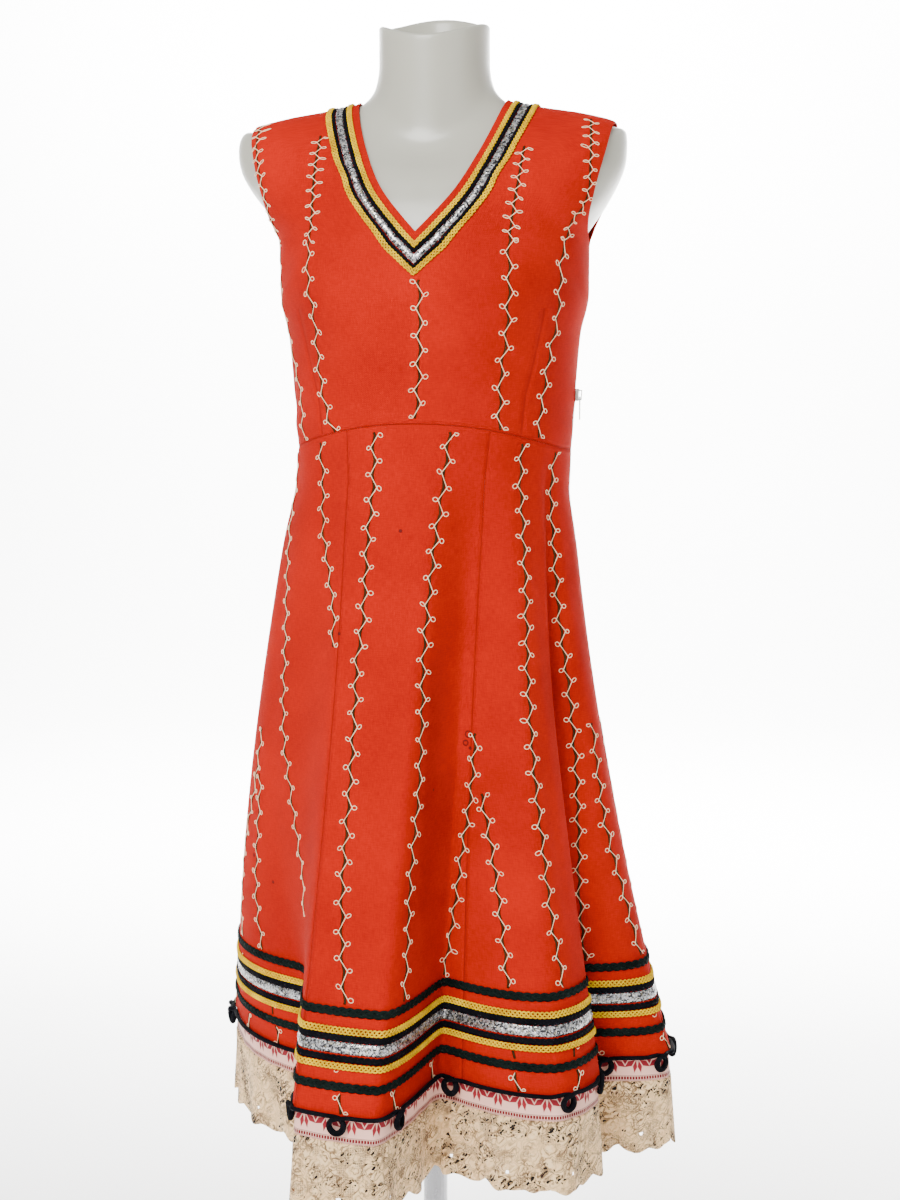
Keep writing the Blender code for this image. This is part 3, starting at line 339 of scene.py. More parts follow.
def skirt_base(angle, drop):
    """Inside of the skirt at waist angles and shares (0 to 1) of the way down."""
    angle, drop = np.broadcast_arrays(np.asarray(angle, float), np.asarray(drop, float))
    top_z = seam_z(angle)
    top = body_base(wrap(angle), low_level(top_z))
    turn = np.radians(angle)
    cone_x = SKIRT_MIDDLE[0] + SKIRT_HALF_WIDTH * np.sin(turn)
    cone_y = SKIRT_MIDDLE[1] - SKIRT_DEPTH * np.cos(turn)
    fold_x, fold_y = hem_plan(angle)
    power = FLARE_POWER + (FLARE_POWER_LEFT - FLARE_POWER) * np.maximum(0.0, -np.sin(turn)) ** 2
    flare = drop ** power
    opened = drop ** FOLD_GROWTH(angle)
    dip = WAIST_DIP * np.exp(-((drop - DIP_AT) / DIP_WIDE) ** 2) * np.minimum(1.0, drop / DIP_AT)
    x = top[..., 0] + (cone_x - top[..., 0]) * flare + (fold_x - cone_x) * opened - dip * np.sin(turn)
    y = top[..., 1] + (cone_y - top[..., 1]) * flare + (fold_y - cone_y) * opened + dip * np.cos(turn)
    return np.stack([x, y, top_z + (HEM_Z - top_z) * drop], axis=-1)


def level_side(angle, drop):
    """Level way out of the skirt."""
    along = skirt_base(angle + 0.25, drop) - skirt_base(angle - 0.25, drop)
    return unit(np.stack([along[..., 1], -along[..., 0], np.zeros_like(angle)], axis=-1))


def skirt(angle, drop, out=0.0):
    """Skirt surface moved out level, with its small creases."""
    angle, drop = np.broadcast_arrays(np.asarray(angle, float), np.asarray(drop, float))
    base = skirt_base(angle, drop)
    out = np.broadcast_to(np.asarray(out, float), angle.shape) + skirt_crease(angle, drop)
    return base + level_side(angle, drop) * out[..., None]


def drop_at(angle, height):
    """Share of the way down of a height above the hem."""
    top_z = seam_z(angle)
    return (top_z - HEM_Z - height) / (top_z - HEM_Z)


# Small creases. Skirt rows: waist angle, drop, length, width (degrees), slant, depth in mm.
CREASE_COLUMNS = ("angle", "place", "long", "wide", "slant", "depth")
SKIRT_CREASES = (
    (5.0, 0.30, 0.22, 7.0, -6.0, -1.9),
    (17.0, 0.62, 0.30, 3.6, 2.0, -2.6),
    (22.5, 0.50, 0.34, 4.0, -2.0, 1.8),
    (-24.5, 0.40, 0.25, 4.5, 3.0, -1.9),
    (-6.0, 0.66, 0.26, 4.0, 2.5, -1.8),
    (-38.0, 0.45, 0.28, 6.0, 5.0, 1.2),
    (-64.0, 0.30, 0.20, 6.0, 4.0, -1.4),
    (54.0, 0.33, 0.26, 6.0, 5.0, -2.4),
    (47.0, 0.62, 0.24, 3.0, 3.0, -1.8),
    (76.0, 0.20, 0.16, 5.0, 6.0, -1.4),
    (84.0, 0.55, 0.30, 5.0, 2.0, 1.2),
    (118.0, 0.30, 0.25, 6.0, -5.0, -1.4),
    (140.0, 0.45, 0.30, 6.0, 3.0, 1.2),
    (170.0, 0.32, 0.24, 7.0, -4.0, -1.5),
    (196.0, 0.50, 0.30, 6.0, 4.0, 1.2),
    (222.0, 0.30, 0.22, 6.0, 5.0, -1.4),
    (246.0, 0.42, 0.26, 5.0, -4.0, 1.3),
    (264.0, 0.22, 0.18, 5.0, -5.0, -1.3),
    (-6.0, 0.07, 0.030, 24.0, 0.0, 0.7),
    (62.0, 0.05, 0.028, 20.0, 0.0, -0.8),
    (-70.0, 0.05, 0.030, 18.0, 0.0, -0.9),
    (100.0, 0.06, 0.030, 20.0, 0.0, -0.8),
    (180.0, 0.05, 0.028, 40.0, 0.0, -0.7),
    (250.0, 0.06, 0.030, 20.0, 0.0, 0.8),
)
# Bodice rows: angle, height, length, width (metres), slant (metres per metre), depth in mm.
BODICE_CREASES = (
    (-62.0, 1.196, 0.040, 0.010, 0.9, -1.2),
    (-54.0, 1.182, 0.045, 0.011, 0.8, 0.9),
    (62.0, 1.200, 0.040, 0.010, -0.9, -1.3),
    (54.0, 1.184, 0.045, 0.011, -0.8, 0.9),
    (-74.0, 1.060, 0.050, 0.008, 0.15, -1.3),
    (-70.0, 1.043, 0.050, 0.008, 0.10, 0.9),
    (76.0, 1.052, 0.050, 0.008, -0.12, -1.3),
    (70.0, 1.070, 0.050, 0.008, -0.10, 0.9),
    (-20.0, 1.262, 0.060, 0.012, 0.7, -0.8),
    (22.0, 1.270, 0.060, 0.012, -0.7, -0.8),
    (-12.0, 1.110, 0.060, 0.014, -0.4, 0.7),
    (14.0, 1.095, 0.060, 0.014, 0.4, -0.7),
    (150.0, 1.180, 0.060, 0.012, -0.5, -1.0),
    (208.0, 1.170, 0.060, 0.012, 0.5, -1.0),
    (160.0, 1.060, 0.070, 0.009, 0.1, -1.1),
    (200.0, 1.048, 0.070, 0.009, -0.1, 0.9),
    (180.0, 1.270, 0.050, 0.014, 0.0, -0.8),
    (120.0, 1.210, 0.040, 0.010, 0.8, -1.1),
    (240.0, 1.212, 0.040, 0.010, -0.8, -1.1),
)
MILLIMETRE = 0.001
ARC = 0.0023  # metres of bodice for one degree round it
DEEPEST_CREASE = 0.0008
# Creases fade out at the waist seam, above the hem braids and under the shoulders.
SKIRT_FADE_IN = 0.02
SKIRT_FADE_END = 0.80
SKIRT_FADE_OUT = 0.08
BODICE_FADE_IN = 0.012
BODICE_FADE_END = 1.285
BODICE_FADE_OUT = 0.02


def faded(start, fade_in, end, fade_out):
    """Share from 0 to 1 that rises over one distance and falls over another."""
    return np.clip(start / fade_in, 0.0, 1.0) * np.clip(end / fade_out, 0.0, 1.0)


def skirt_crease(angle, drop):
    total = np.zeros(np.broadcast(angle, drop).shape)
    for row in SKIRT_CREASES:
        value = dict(zip(CREASE_COLUMNS, row))
        middle = value["angle"] + value["slant"] * (drop - value["place"]) / value["long"]
        turn = wrap(angle - middle)
        spread = (turn / value["wide"]) ** 2 + ((drop - value["place"]) / value["long"]) ** 2
        total = total + value["depth"] * MILLIMETRE * np.exp(-spread)
    return total * faded(drop, SKIRT_FADE_IN, SKIRT_FADE_END - drop, SKIRT_FADE_OUT)


def bodice_crease(angle, z):
    total = np.zeros(np.broadcast(angle, z).shape)
    for row in BODICE_CREASES:
        value = dict(zip(CREASE_COLUMNS, row))
        turn = wrap(angle - value["angle"])
        across = turn * ARC
        rise = z - value["place"] - value["slant"] * across
        spread = (across / value["long"]) ** 2 + (rise / value["wide"]) ** 2
        total = total + value["depth"] * MILLIMETRE * np.exp(-spread)
    return total * faded(z - seam_z(angle), BODICE_FADE_IN, BODICE_FADE_END - z, BODICE_FADE_OUT)


def bodice(angle, level, out=0.0):
    """Bodice surface moved out, with its small creases."""
    angle, level = np.broadcast_arrays(np.asarray(angle, float), np.asarray(level, float))
    z = body_base(angle, level)[..., 2]
    crease = np.maximum(bodice_crease(angle, z), -DEEPEST_CREASE)
    return body(angle, level, np.asarray(out, float) + crease)


# Node-material tools
def rgb(red, green, blue):
    return (red, green, blue, 1.0)


class Nodes:
    """Short names for the shader nodes used here."""

    def __init__(self, name):
        self.material = bpy.data.materials.new(name)
        self.material.use_nodes = True
        self.tree = self.material.node_tree
        self.shader = self.tree.nodes["Principled BSDF"]

    def put(self, socket, value):
        if value is None:
            return
        if isinstance(value, bpy.types.NodeSocket):
            self.tree.links.new(value, socket)
        else:
            socket.default_value = value

    def node(self, kind, **settings):
        made = self.tree.nodes.new(kind)
        for key, value in settings.items():
            setattr(made, key, value)
        return made

    def math(self, operation, a, b=None, c=None, clamp=False):
        made = self.node("ShaderNodeMath", operation=operation, use_clamp=clamp)
        for socket, value in zip(made.inputs, (a, b, c)):
            self.put(socket, value)
        return made.outputs[0]

    def times(self, a, b):
        return self.math("MULTIPLY", a, b)

    def plus(self, a, b):
        return self.math("ADD", a, b)

    def minus(self, a, b):
        return self.math("SUBTRACT", a, b)

    def size(self, a):
        return self.math("ABSOLUTE", a)

    def mix(self, share, a, b, blend="MIX"):
        made = self.node("ShaderNodeMix", data_type="RGBA", blend_type=blend)
        made.clamp_factor = True
        self.put(made.inputs[0], share)
        self.put(made.inputs[6], a)
        self.put(made.inputs[7], b)
        return made.outputs[2]

    def uv(self):
        split = self.node("ShaderNodeSeparateXYZ")
        source = self.node("ShaderNodeUVMap", uv_map="flat")
        self.put(split.inputs[0], source.outputs[0])
        return split.outputs[0], split.outputs[1]

    def here(self):
        return self.node("ShaderNodeTexCoord").outputs["Object"]

    def join(self, x, y, z=0.0):
        made = self.node("ShaderNodeCombineXYZ")
        for socket, value in zip(made.inputs, (x, y, z)):
            self.put(socket, value)
        return made.outputs[0]

    def noise(self, scale, detail=2.0, rough=0.5, at=None, distortion=0.0):
        made = self.node("ShaderNodeTexNoise")
        self.put(made.inputs["Vector"], at if at is not None else self.here())
        made.inputs["Scale"].default_value = scale
        made.inputs["Detail"].default_value = detail
        made.inputs["Roughness"].default_value = rough
        made.inputs["Distortion"].default_value = distortion
        return made.outputs["Fac"]

    def cells(self, scale, feature="F1", out="Distance", at=None, jitter=1.0):
        made = self.node("ShaderNodeTexVoronoi", feature=feature)
        self.put(made.inputs["Vector"], at if at is not None else self.here())
        made.inputs["Scale"].default_value = scale
        made.inputs["Randomness"].default_value = jitter
        return made.outputs[out]

    def attribute(self, name):
        return self.node("ShaderNodeAttribute", attribute_name=name).outputs["Fac"]

    def span(self, value, low, high, to_low=0.0, to_high=1.0):
        made = self.node("ShaderNodeMapRange", interpolation_type="SMOOTHSTEP")
        for socket, item in zip(made.inputs, (value, low, high, to_low, to_high)):
            self.put(socket, item)
        return made.outputs[0]

    def bump(self, height, strength, distance, after=None):
        made = self.node("ShaderNodeBump")
        made.inputs["Strength"].default_value = strength
        made.inputs["Distance"].default_value = distance
        self.put(made.inputs["Height"], height)
        self.put(made.inputs["Normal"], after)
        return made.outputs[0]

    def finish(
        self, colour, rough, normal=None, metal=0.0, sheen=0.0, sheen_tint=None, specular=0.5, coat=0.0,
    ):
        self.put(self.shader.inputs["Base Color"], colour)
        self.put(self.shader.inputs["Roughness"], rough)
        self.put(self.shader.inputs["Normal"], normal)
        self.put(self.shader.inputs["Metallic"], metal)
        self.shader.inputs["Specular IOR Level"].default_value = specular
        self.shader.inputs["Sheen Weight"].default_value = sheen
        self.shader.inputs["Sheen Roughness"].default_value = 0.45
        if sheen_tint:
            self.shader.inputs["Sheen Tint"].default_value = sheen_tint
        self.shader.inputs["Coat Weight"].default_value = coat
        self.shader.inputs["Coat Roughness"].default_value = 0.12
        return self.material


# Small marks on the skirt: waist angle, drop, radius of the ring, half its line's width.
MARKS = (
    (28.2, 0.468, 0.0030, 0.0006),
    (27.6, 0.482, 0.0024, 0.0006),
    (28.8, 0.489, 0.0009, 0.0007),
    (-3.0, 0.160, 0.0, 0.0014),
    (-29.0, 0.310, 0.0, 0.0014),
    (-71.5, 0.685, 0.0, 0.0017),
    (-64.5, 0.720, 0.0, 0.0014),
    (16.0, 0.550, 0.0, 0.0010),
)


def wool_material():
    """Wool twill: slanted ribs, slubs, soft fuzz, painted shade along the seams and darts, and a few
    marks.
    """
    n = Nodes("red_wool")
    u, v = n.uv()
    slant = n.plus(u, n.times(v, 0.8))
    ribs = n.math("SINE", n.times(slant, TAU / 0.0016))
    yarn = n.noise(1.0, 2.0, 0.6, n.join(n.times(u, 160.0), n.times(v, 900.0)))
    warp = n.noise(1.0, 2.0, 0.6, n.join(n.times(u, 900.0), n.times(v, 140.0)))
    fuzz = n.noise(1400.0, 3.0, 0.6)
    cloud = n.noise(9.0, 3.0, 0.55)
    tone = n.plus(n.times(yarn, 0.5), n.times(warp, 0.5))
    tone = n.plus(n.times(tone, 0.7), n.times(cloud, 0.5))
    colour = n.mix(n.span(tone, 0.35, 0.85), rgb(0.26, 0.0028, 0.0004), rgb(0.48, 0.0076, 0.0008))
    colour = n.mix(n.times(n.span(ribs, -1.0, 1.0), 0.10), colour, rgb(0.60, 0.019, 0.003))
    # Painted shade: the wool darkens along the seam and dart lines, as shade in their grooves.
    line = n.math("MINIMUM", n.attribute("line"), n.size(n.attribute("dart")))
    seam_shade = n.span(line, 0.0003, 0.0011, 1.0, 0.0)
    colour = n.mix(n.times(seam_shade, 0.75), colour, rgb(0.25, 0.006, 0.002))
    rag = n.times(n.minus(n.noise(500.0), 0.5), 0.0012)
    mark = None
    for angle, drop, radius, half in MARKS:
        spot = skirt(np.array([angle]), np.array([drop]), WALL)[0]
        away = n.node("ShaderNodeVectorMath", operation="DISTANCE")
        n.put(away.inputs[0], n.here())
        away.inputs[1].default_value = spot.tolist()
        edge = n.size(n.minus(n.plus(away.outputs["Value"], rag), radius))
        here = n.span(edge, half, 1.5 * half, 1.0, 0.0)
        mark = here if mark is None else n.math("MAXIMUM", mark, here)
    colour = n.mix(n.times(mark, 0.85), colour, rgb(0.05, 0.010, 0.010))
    height = n.plus(n.times(ribs, 0.35), n.times(fuzz, 0.9))
    height = n.plus(height, n.times(tone, 1.2))
    normal = n.bump(height, 0.35, 0.0006)
    groove = n.span(line, 0.0, 0.0035)
    normal = n.bump(groove, 0.8, 0.0012, normal)
    return n.finish(colour, 0.95, normal, sheen=0.03, sheen_tint=rgb(1.0, 0.20, 0.10), specular=0.08)


def thread_material(name, dark, light, scale, rough, specular=0.2):
    """Cotton thread or braid: short slanted fibres and uneven dye."""
    n = Nodes(name)
    fibre = n.noise(scale, 2.0, 0.6)
    patch = n.noise(scale * 0.06, 2.0, 0.5)
    share = n.plus(n.times(fibre, 0.6), n.times(patch, 0.6))
    colour = n.mix(n.span(share, 0.3, 0.9), dark, light)
    normal = n.bump(fibre, 0.5, 0.0004)
    return n.finish(colour, rough, normal, specular=specular)


def silver_material():
    """Metallic thread: tiny facets whose several tones are painted glints and painted dark reflections.
    """
    n = Nodes("silver_thread")
    flake = n.cells(700.0, out="Color")
    split = n.node("ShaderNodeSeparateColor")
    n.put(split.inputs[0], flake)
    # Painted glints and painted dark reflections: each flake is coloured from near black to bright
    # silver.
    tone = n.span(split.outputs[0], 0.15, 0.95)
    colour = n.mix(tone, rgb(0.03, 0.03, 0.035), rgb(0.70, 0.70, 0.72))
    warm = n.span(split.outputs[1], 0.75, 0.95)
    colour = n.mix(n.times(warm, 0.35), colour, rgb(0.95, 0.82, 0.50))
    rough = n.span(split.outputs[2], 0.0, 1.0, 0.12, 0.45)
    normal = n.bump(split.outputs[0], 1.0, 0.0010)
    return n.finish(colour, rough, normal, metal=0.75)


# Woven ribbon, in millimetres
STAR_PERIOD = 24.5
DOTS_AT = 22.0
DOT_STEP = 2.8
PETALS = (
    # centre across, centre down, turn in degrees, half length, half width
    (2.4, 10.6, 9.0, 6.6, 2.3),
    (7.4, 7.4, 56.0, 6.6, 3.1),
    (12.25, 4.2, 0.0, 4.2, 2.4),
)


def ribbon_material():
    """Woven ribbon: half stars, small triangles and a dotted line, charted in millimetres."""
    n = Nodes("woven_ribbon")
    u, v = n.uv()
    mm_u = n.times(u, 1000.0)
    mm_v = n.times(v, 1000.0)
    repeat = n.math("MODULO", n.plus(mm_u, 5000.0 * STAR_PERIOD), STAR_PERIOD)
    x = n.minus(repeat, 0.5 * STAR_PERIOD)
    ax = n.size(x)

    def petal(cx, cy, turn, length, width):
        c = math.cos(turn)
        s = math.sin(turn)
        dx = n.minus(ax, cx)
        dy = n.minus(mm_v, cy)
        along = n.plus(n.times(dx, s), n.times(dy, c))
        across = n.minus(n.times(dx, c), n.times(dy, s))
        total = n.plus(n.times(n.size(along), 1.0 / length), n.times(n.size(across), 1.0 / width))
        return n.span(total, 0.88, 1.05, 1.0, 0.0)

    down, aside, small = [petal(x, y, math.radians(turn), *half) for x, y, turn, *half in PETALS]
    star = n.math("MAXIMUM", down, n.math("MAXIMUM", aside, small))
    step = n.math("MODULO", n.plus(mm_u, 50000.0), DOT_STEP)
    dots = n.span(n.size(n.minus(step, 0.5 * DOT_STEP)), 1.02, 1.18, 1.0, 0.0)
    off = n.size(n.minus(mm_v, DOTS_AT))
    band = n.span(off, 1.4, 1.7, 1.0, 0.0)
    edge = n.span(n.size(n.minus(off, 2.3)), 0.25, 0.5, 0.6, 0.0)
    weave = n.noise(1.0, 2.0, 0.6, n.join(n.times(mm_u, 1.6), n.times(mm_v, 3.0)))
    cream = n.mix(n.noise(22.0), rgb(0.84, 0.44, 0.34), rgb(0.95, 0.58, 0.46))
    cream = n.mix(n.times(weave, 0.25), cream, rgb(0.80, 0.50, 0.40))
    halo = n.times(n.span(mm_v, 1.0, 14.0, 0.55, 0.1), 0.6)
    cream = n.mix(halo, cream, rgb(0.85, 0.36, 0.30))
    rose = n.mix(n.span(weave, 0.3, 0.7), rgb(0.22, 0.004, 0.013), rgb(0.34, 0.013, 0.024))
    colour = n.mix(star, cream, rose)
    colour = n.mix(n.math("MAXIMUM", n.times(dots, band), edge), colour, rgb(0.14, 0.002, 0.007))
    grain = n.math("SINE", n.times(mm_v, TAU / 0.55))
    normal = n.bump(n.plus(n.times(grain, 0.3), n.plus(weave, star)), 0.4, 0.0003)
    return n.finish(colour, 0.75, normal, sheen=0.1, specular=0.25)


def lace_material():
    """Ecru lace: flower and scroll relief, net patches, and painted shade in the net holes and small
    gaps.
    """
    n = Nodes("ecru_lace")
    u, v = n.uv()
    mm_u = n.times(u, 1000.0)
    mm_v = n.times(v, 1000.0)
    flat = n.join(mm_u, mm_v)
    wander = n.noise(0.10, 2.0, 0.5, flat)
    shift = n.times(n.minus(wander, 0.5), 16.0)
    at = n.join(n.plus(mm_u, shift), n.minus(mm_v, shift))
    flower = n.cells(0.070, "F1", "Distance", at)
    rings = n.times(n.size(n.math("SINE", n.times(flower, 12.0))), 1.2)
    outline = n.math("DIVIDE", n.cells(0.070, "DISTANCE_TO_EDGE", "Distance", at), 0.070)
    leaves = n.math("DIVIDE", n.cells(0.190, "DISTANCE_TO_EDGE", "Distance", at), 0.190)
    open_leaves = n.span(n.noise(0.09, 2.0, 0.5, n.join(mm_u, mm_v, 2.0)), 0.50, 0.58, 3.0, 0.0)
    drawing = n.math("MINIMUM", n.math("MINIMUM", rings, outline), n.plus(leaves, open_leaves))
    line = n.span(drawing, 0.20, 0.62, 1.0, 0.0)
    strong = n.span(n.noise(0.07, 2.0, 0.5, n.join(mm_u, mm_v, 6.0)), 0.35, 0.65, 0.25, 1.0)
    raised = n.span(drawing, 0.60, 1.30)
    # Painted shade: net holes and small gaps are coloured dark, as the shade that shows through them.
    net = n.cells(0.62, "F1", "Distance", flat, 0.25)
    patch = n.span(n.noise(0.060, 2.0, 0.5, n.join(mm_u, mm_v, 4.0)), 0.52, 0.57)
    hole = n.times(n.span(net, 0.30, 0.46, 1.0, 0.0), patch)
    shaded_gap = n.cells(0.30, "F1", "Distance", at)
    group = n.span(n.noise(0.052, 2.0, 0.5, n.join(mm_u, mm_v, 9.0)), 0.51, 0.54)
    dark = n.times(n.span(shaded_gap, 0.32, 0.42, 1.0, 0.0), group)
    yarn = n.noise(1.0, 2.0, 0.6, n.join(n.times(mm_u, 1.8), n.times(mm_v, 1.8)))
    cloud = n.noise(16.0, 3.0, 0.6)
    base = n.mix(cloud, rgb(0.88, 0.56, 0.26), rgb(1.0, 0.68, 0.36))
    base = n.mix(n.times(yarn, 0.15), base, rgb(0.72, 0.46, 0.24))
    colour = n.mix(n.times(raised, 0.6), base, rgb(1.0, 0.74, 0.42))
    colour = n.mix(n.times(n.times(line, strong), 0.85), colour, rgb(0.085, 0.040, 0.016))
    # Painted shade in the net holes and in the small gaps.
    colour = n.mix(n.times(hole, 0.70), colour, rgb(0.16, 0.085, 0.045))
    colour = n.mix(dark, colour, rgb(0.006, 0.003, 0.002))
    height = n.plus(n.times(raised, 1.0), n.times(yarn, 0.4))
    height = n.minus(height, n.times(n.math("MAXIMUM", hole, dark), 1.2))
    normal = n.bump(height, 0.8, 0.0009)
    return n.finish(colour, 0.85, normal, sheen=0.1, specular=0.2)


def plastic_material():
    """Glossy grey moulded plastic with faint scuffs."""
    n = Nodes("form_plastic")
    cloud = n.noise(5.0, 3.0, 0.5)
    scuff = n.noise(60.0, 4.0, 0.65)
    colour = n.mix(cloud, rgb(0.385, 0.375, 0.310), rgb(0.440, 0.430, 0.360))
    rough = n.span(scuff, 0.35, 0.75, 0.28, 0.42)
    normal = n.bump(scuff, 0.03, 0.0006)
    return n.finish(colour, rough, normal, specular=0.5, coat=0.15)


def metal_material(name, dark, light, rough_low, rough_high):
    """Brushed or plated metal: fine streaks round the piece and uneven polish."""
    n = Nodes(name)
    streak = n.noise(240.0, 3.0, 0.6)
    cloud = n.noise(18.0, 3.0, 0.5)
    colour = n.mix(cloud, dark, light)
    rough = n.span(streak, 0.3, 0.7, rough_low, rough_high)
    normal = n.bump(streak, 0.06, 0.0004)
    return n.finish(colour, rough, normal, metal=1.0)


WOOL = wool_material()
YELLOW = thread_material("yellow_cotton", rgb(0.42, 0.21, 0.0), rgb(0.90, 0.60, 0.0), 900.0, 0.8, 0.08)
BLACK = thread_material(
    "black_cotton", rgb(0.001, 0.001, 0.0015), rgb(0.006, 0.006, 0.009), 900.0, 0.8, 0.04,
)
GREEN = thread_material(
    "green_cotton", rgb(0.001, 0.003, 0.0025), rgb(0.007, 0.013, 0.011), 700.0, 0.8, 0.05,
)
SILVER = silver_material()
CREAM = thread_material("cream_thread", rgb(1.0, 0.55, 0.32), rgb(1.0, 0.80, 0.52), 260.0, 0.9, 0.1)
OLIVE = thread_material(
    "olive_thread", rgb(0.020, 0.009, 0.003), rgb(0.055, 0.024, 0.008), 500.0, 0.8, 0.05,
)
RIBBON = ribbon_material()
LACE = lace_material()
TAPE = thread_material("zip_tape_weave", rgb(0.30, 0.012, 0.006), rgb(0.52, 0.03, 0.012), 1200.0, 0.85)
PLASTIC = plastic_material()
NICKEL = metal_material("zip_nickel", rgb(0.50, 0.47, 0.42), rgb(0.78, 0.75, 0.70), 0.22, 0.42)
STEEL = metal_material("stand_steel", rgb(0.30, 0.30, 0.31), rgb(0.48, 0.48, 0.50), 0.25, 0.45)


def mesh_object(name, points, faces, material, uv=None, attributes=None):
    mesh = bpy.data.meshes.new(name)
    mesh.from_pydata([tuple(p) for p in np.asarray(points).tolist()], [], faces)
    mesh.materials.append(material)
    mesh.shade_smooth()
    if uv is not None:
        layer = mesh.uv_layers.new(name="flat")
        corner = np.zeros(len(mesh.loops), dtype=np.int32)
        mesh.loops.foreach_get("vertex_index", corner)
        layer.data.foreach_set("uv", np.asarray(uv, np.float32)[corner].ravel())
    for key, values in (attributes or {}).items():
        layer = mesh.attributes.new(key, "FLOAT", "POINT")
        layer.data.foreach_set("value", np.asarray(values, np.float32))
    made = bpy.data.objects.new(name, mesh)
    bpy.context.scene.collection.objects.link(made)
    return made


def sheet_mesh(name, inner, outer, cells, material, uv, attributes=None):
    """Closed shell between two matched point lists over cells that face out."""
    count = len(inner)
    cells = np.asarray(cells)
    faces = (cells + count).tolist() + cells[:, ::-1].tolist()
    edges = {}
    for a, b in zip(cells.ravel().tolist(), np.roll(cells, -1, axis=1).ravel().tolist()):
        if (b, a) in edges:
            del edges[(b, a)]
        else:
            edges[(a, b)] = True
    faces += [[a, b, b + count, a + count] for a, b in edges]
    points = np.concatenate([inner, outer])
    uv = np.concatenate([uv, uv])
    both = {key: np.concatenate([values, values]) for key, values in (attributes or {}).items()}
    used = np.unique(np.concatenate([cells.ravel(), cells.ravel() + count]))
    place = np.full(len(points), -1)
    place[used] = np.arange(len(used))
    faces = [[int(place[i]) for i in face] for face in faces]
    both = {key: values[used] for key, values in both.items()}
    made = mesh_object(name, points[used], faces, material, uv[used], both)
    made.data.set_sharp_from_angle(angle=math.radians(60.0))
    return made


def grid_cells(rows, columns, flip=False):
    a = (np.arange(rows - 1)[:, None] * columns + np.arange(columns - 1)[None, :]).ravel()
    cells = np.stack([a, a + 1, a + columns + 1, a + columns], axis=1)
    return cells[:, ::-1] if flip else cells


# Bodice
HALF_COLUMNS = 50
LOW_ROWS = 48
RING_STEP = 0.125
SEAM_RISES = (0.0, 0.0006, 0.002)
LOW_RISE = 0.0045
SIDE_HEIGHT = 0.197
DARTS = ((1.155, 0.1185), (1.148, 0.1175), (1.103, 0.1080), (1.069, 0.0999), (1.025, 0.0955))
DART_TOP = 1.155
BODICE_RADIUS = 0.13
WAIST_RADIUS = 0.12


def eased(count, tight=0.012):
    """Shares from 0 to 1 with a few extra steps close to both ends."""
    inner = np.linspace(0.0, 1.0, count - 3)
    return np.sort(np.concatenate([inner, [0.3 * tight, tight, 1.0 - tight, 1.0 - 0.3 * tight]]))


def bodice_grid(facing):
    """Rows of (away, level) from the middle to the side, edge and seam to neckline."""
    neckline = "front_neck" if facing > 0 else "back_neck"
    armhole = "front_armhole" if facing > 0 else "back_armhole"
    share = eased(HALF_COLUMNS)
    rows_away = []
    rows_level = []
    evenly = 90.0 * np.linspace(0.0, 1.0, len(share))
    evenly[-4:] = (90.0 - 90.0 * (1.0 - share))[-4:]
    edge_levels = neck_levels(evenly, neckline, facing)
    rises = np.concatenate([SEAM_RISES, np.linspace(LOW_RISE, SIDE_HEIGHT, LOW_ROWS)])
    for rise in rises[:-1]:
        angle = evenly if facing > 0 else 180.0 - evenly
        left = 1.0 - rise / (UNDERARM_Z - SIDE_SEAM_Z)
        z = SIDE_SEAM_Z + rise + (seam_z(angle) - SIDE_SEAM_Z) * left
        rows_away.append(evenly)
        rows_level.append(low_level(z))
    tip = V_TIP_LEVEL
    levels = np.concatenate([
        np.arange(UNDERARM_RING, tip - 0.3 * RING_STEP, RING_STEP), [tip],
        np.arange(tip + RING_STEP, LAST_RING - 0.3 * RING_STEP, RING_STEP), [LAST_RING],
    ])
    for level in levels:
        first = 0.0
        last = 90.0
        if facing > 0 and level > tip + 1e-6:
            first = float(edge_angles([level], neckline, facing)[0])
        if UNDERARM_RING < level < TIP_RING:
            last = float(edge_angles([level], armhole, facing)[0])
        if facing < 0 and level > BLEND_RING:
            part = (level - BLEND_RING) / (edge_levels[-1] - BLEND_RING)
            rows_away.append(evenly)
            rows_level.append(BLEND_RING + (edge_levels - BLEND_RING) * part)
        else:
            rows_away.append(first + (last - first) * evenly / 90.0)
            rows_level.append(np.full_like(evenly, level))
    if facing > 0:
        rows_away.append(rows_away[-1])
        rows_level.append(neck_levels(rows_away[-1], neckline, facing))
    else:
        rows_away.append(evenly)
        rows_level.append(edge_levels)
    return np.array(rows_away), np.array(rows_level)


def dart_distance(points):
    """Level distance past the nearest dart line. It is large above the dart's point."""
    heights = np.array([row[0] for row in DARTS])[::-1]
    places = np.array([row[1] for row in DARTS])[::-1]
    line = np.interp(points[..., 2], heights, places)
    away = (np.abs(points[..., 0]) - line) * 0.8
    return np.where((points[..., 1] < 0.0) & (points[..., 2] < DART_TOP), away, 1.0)


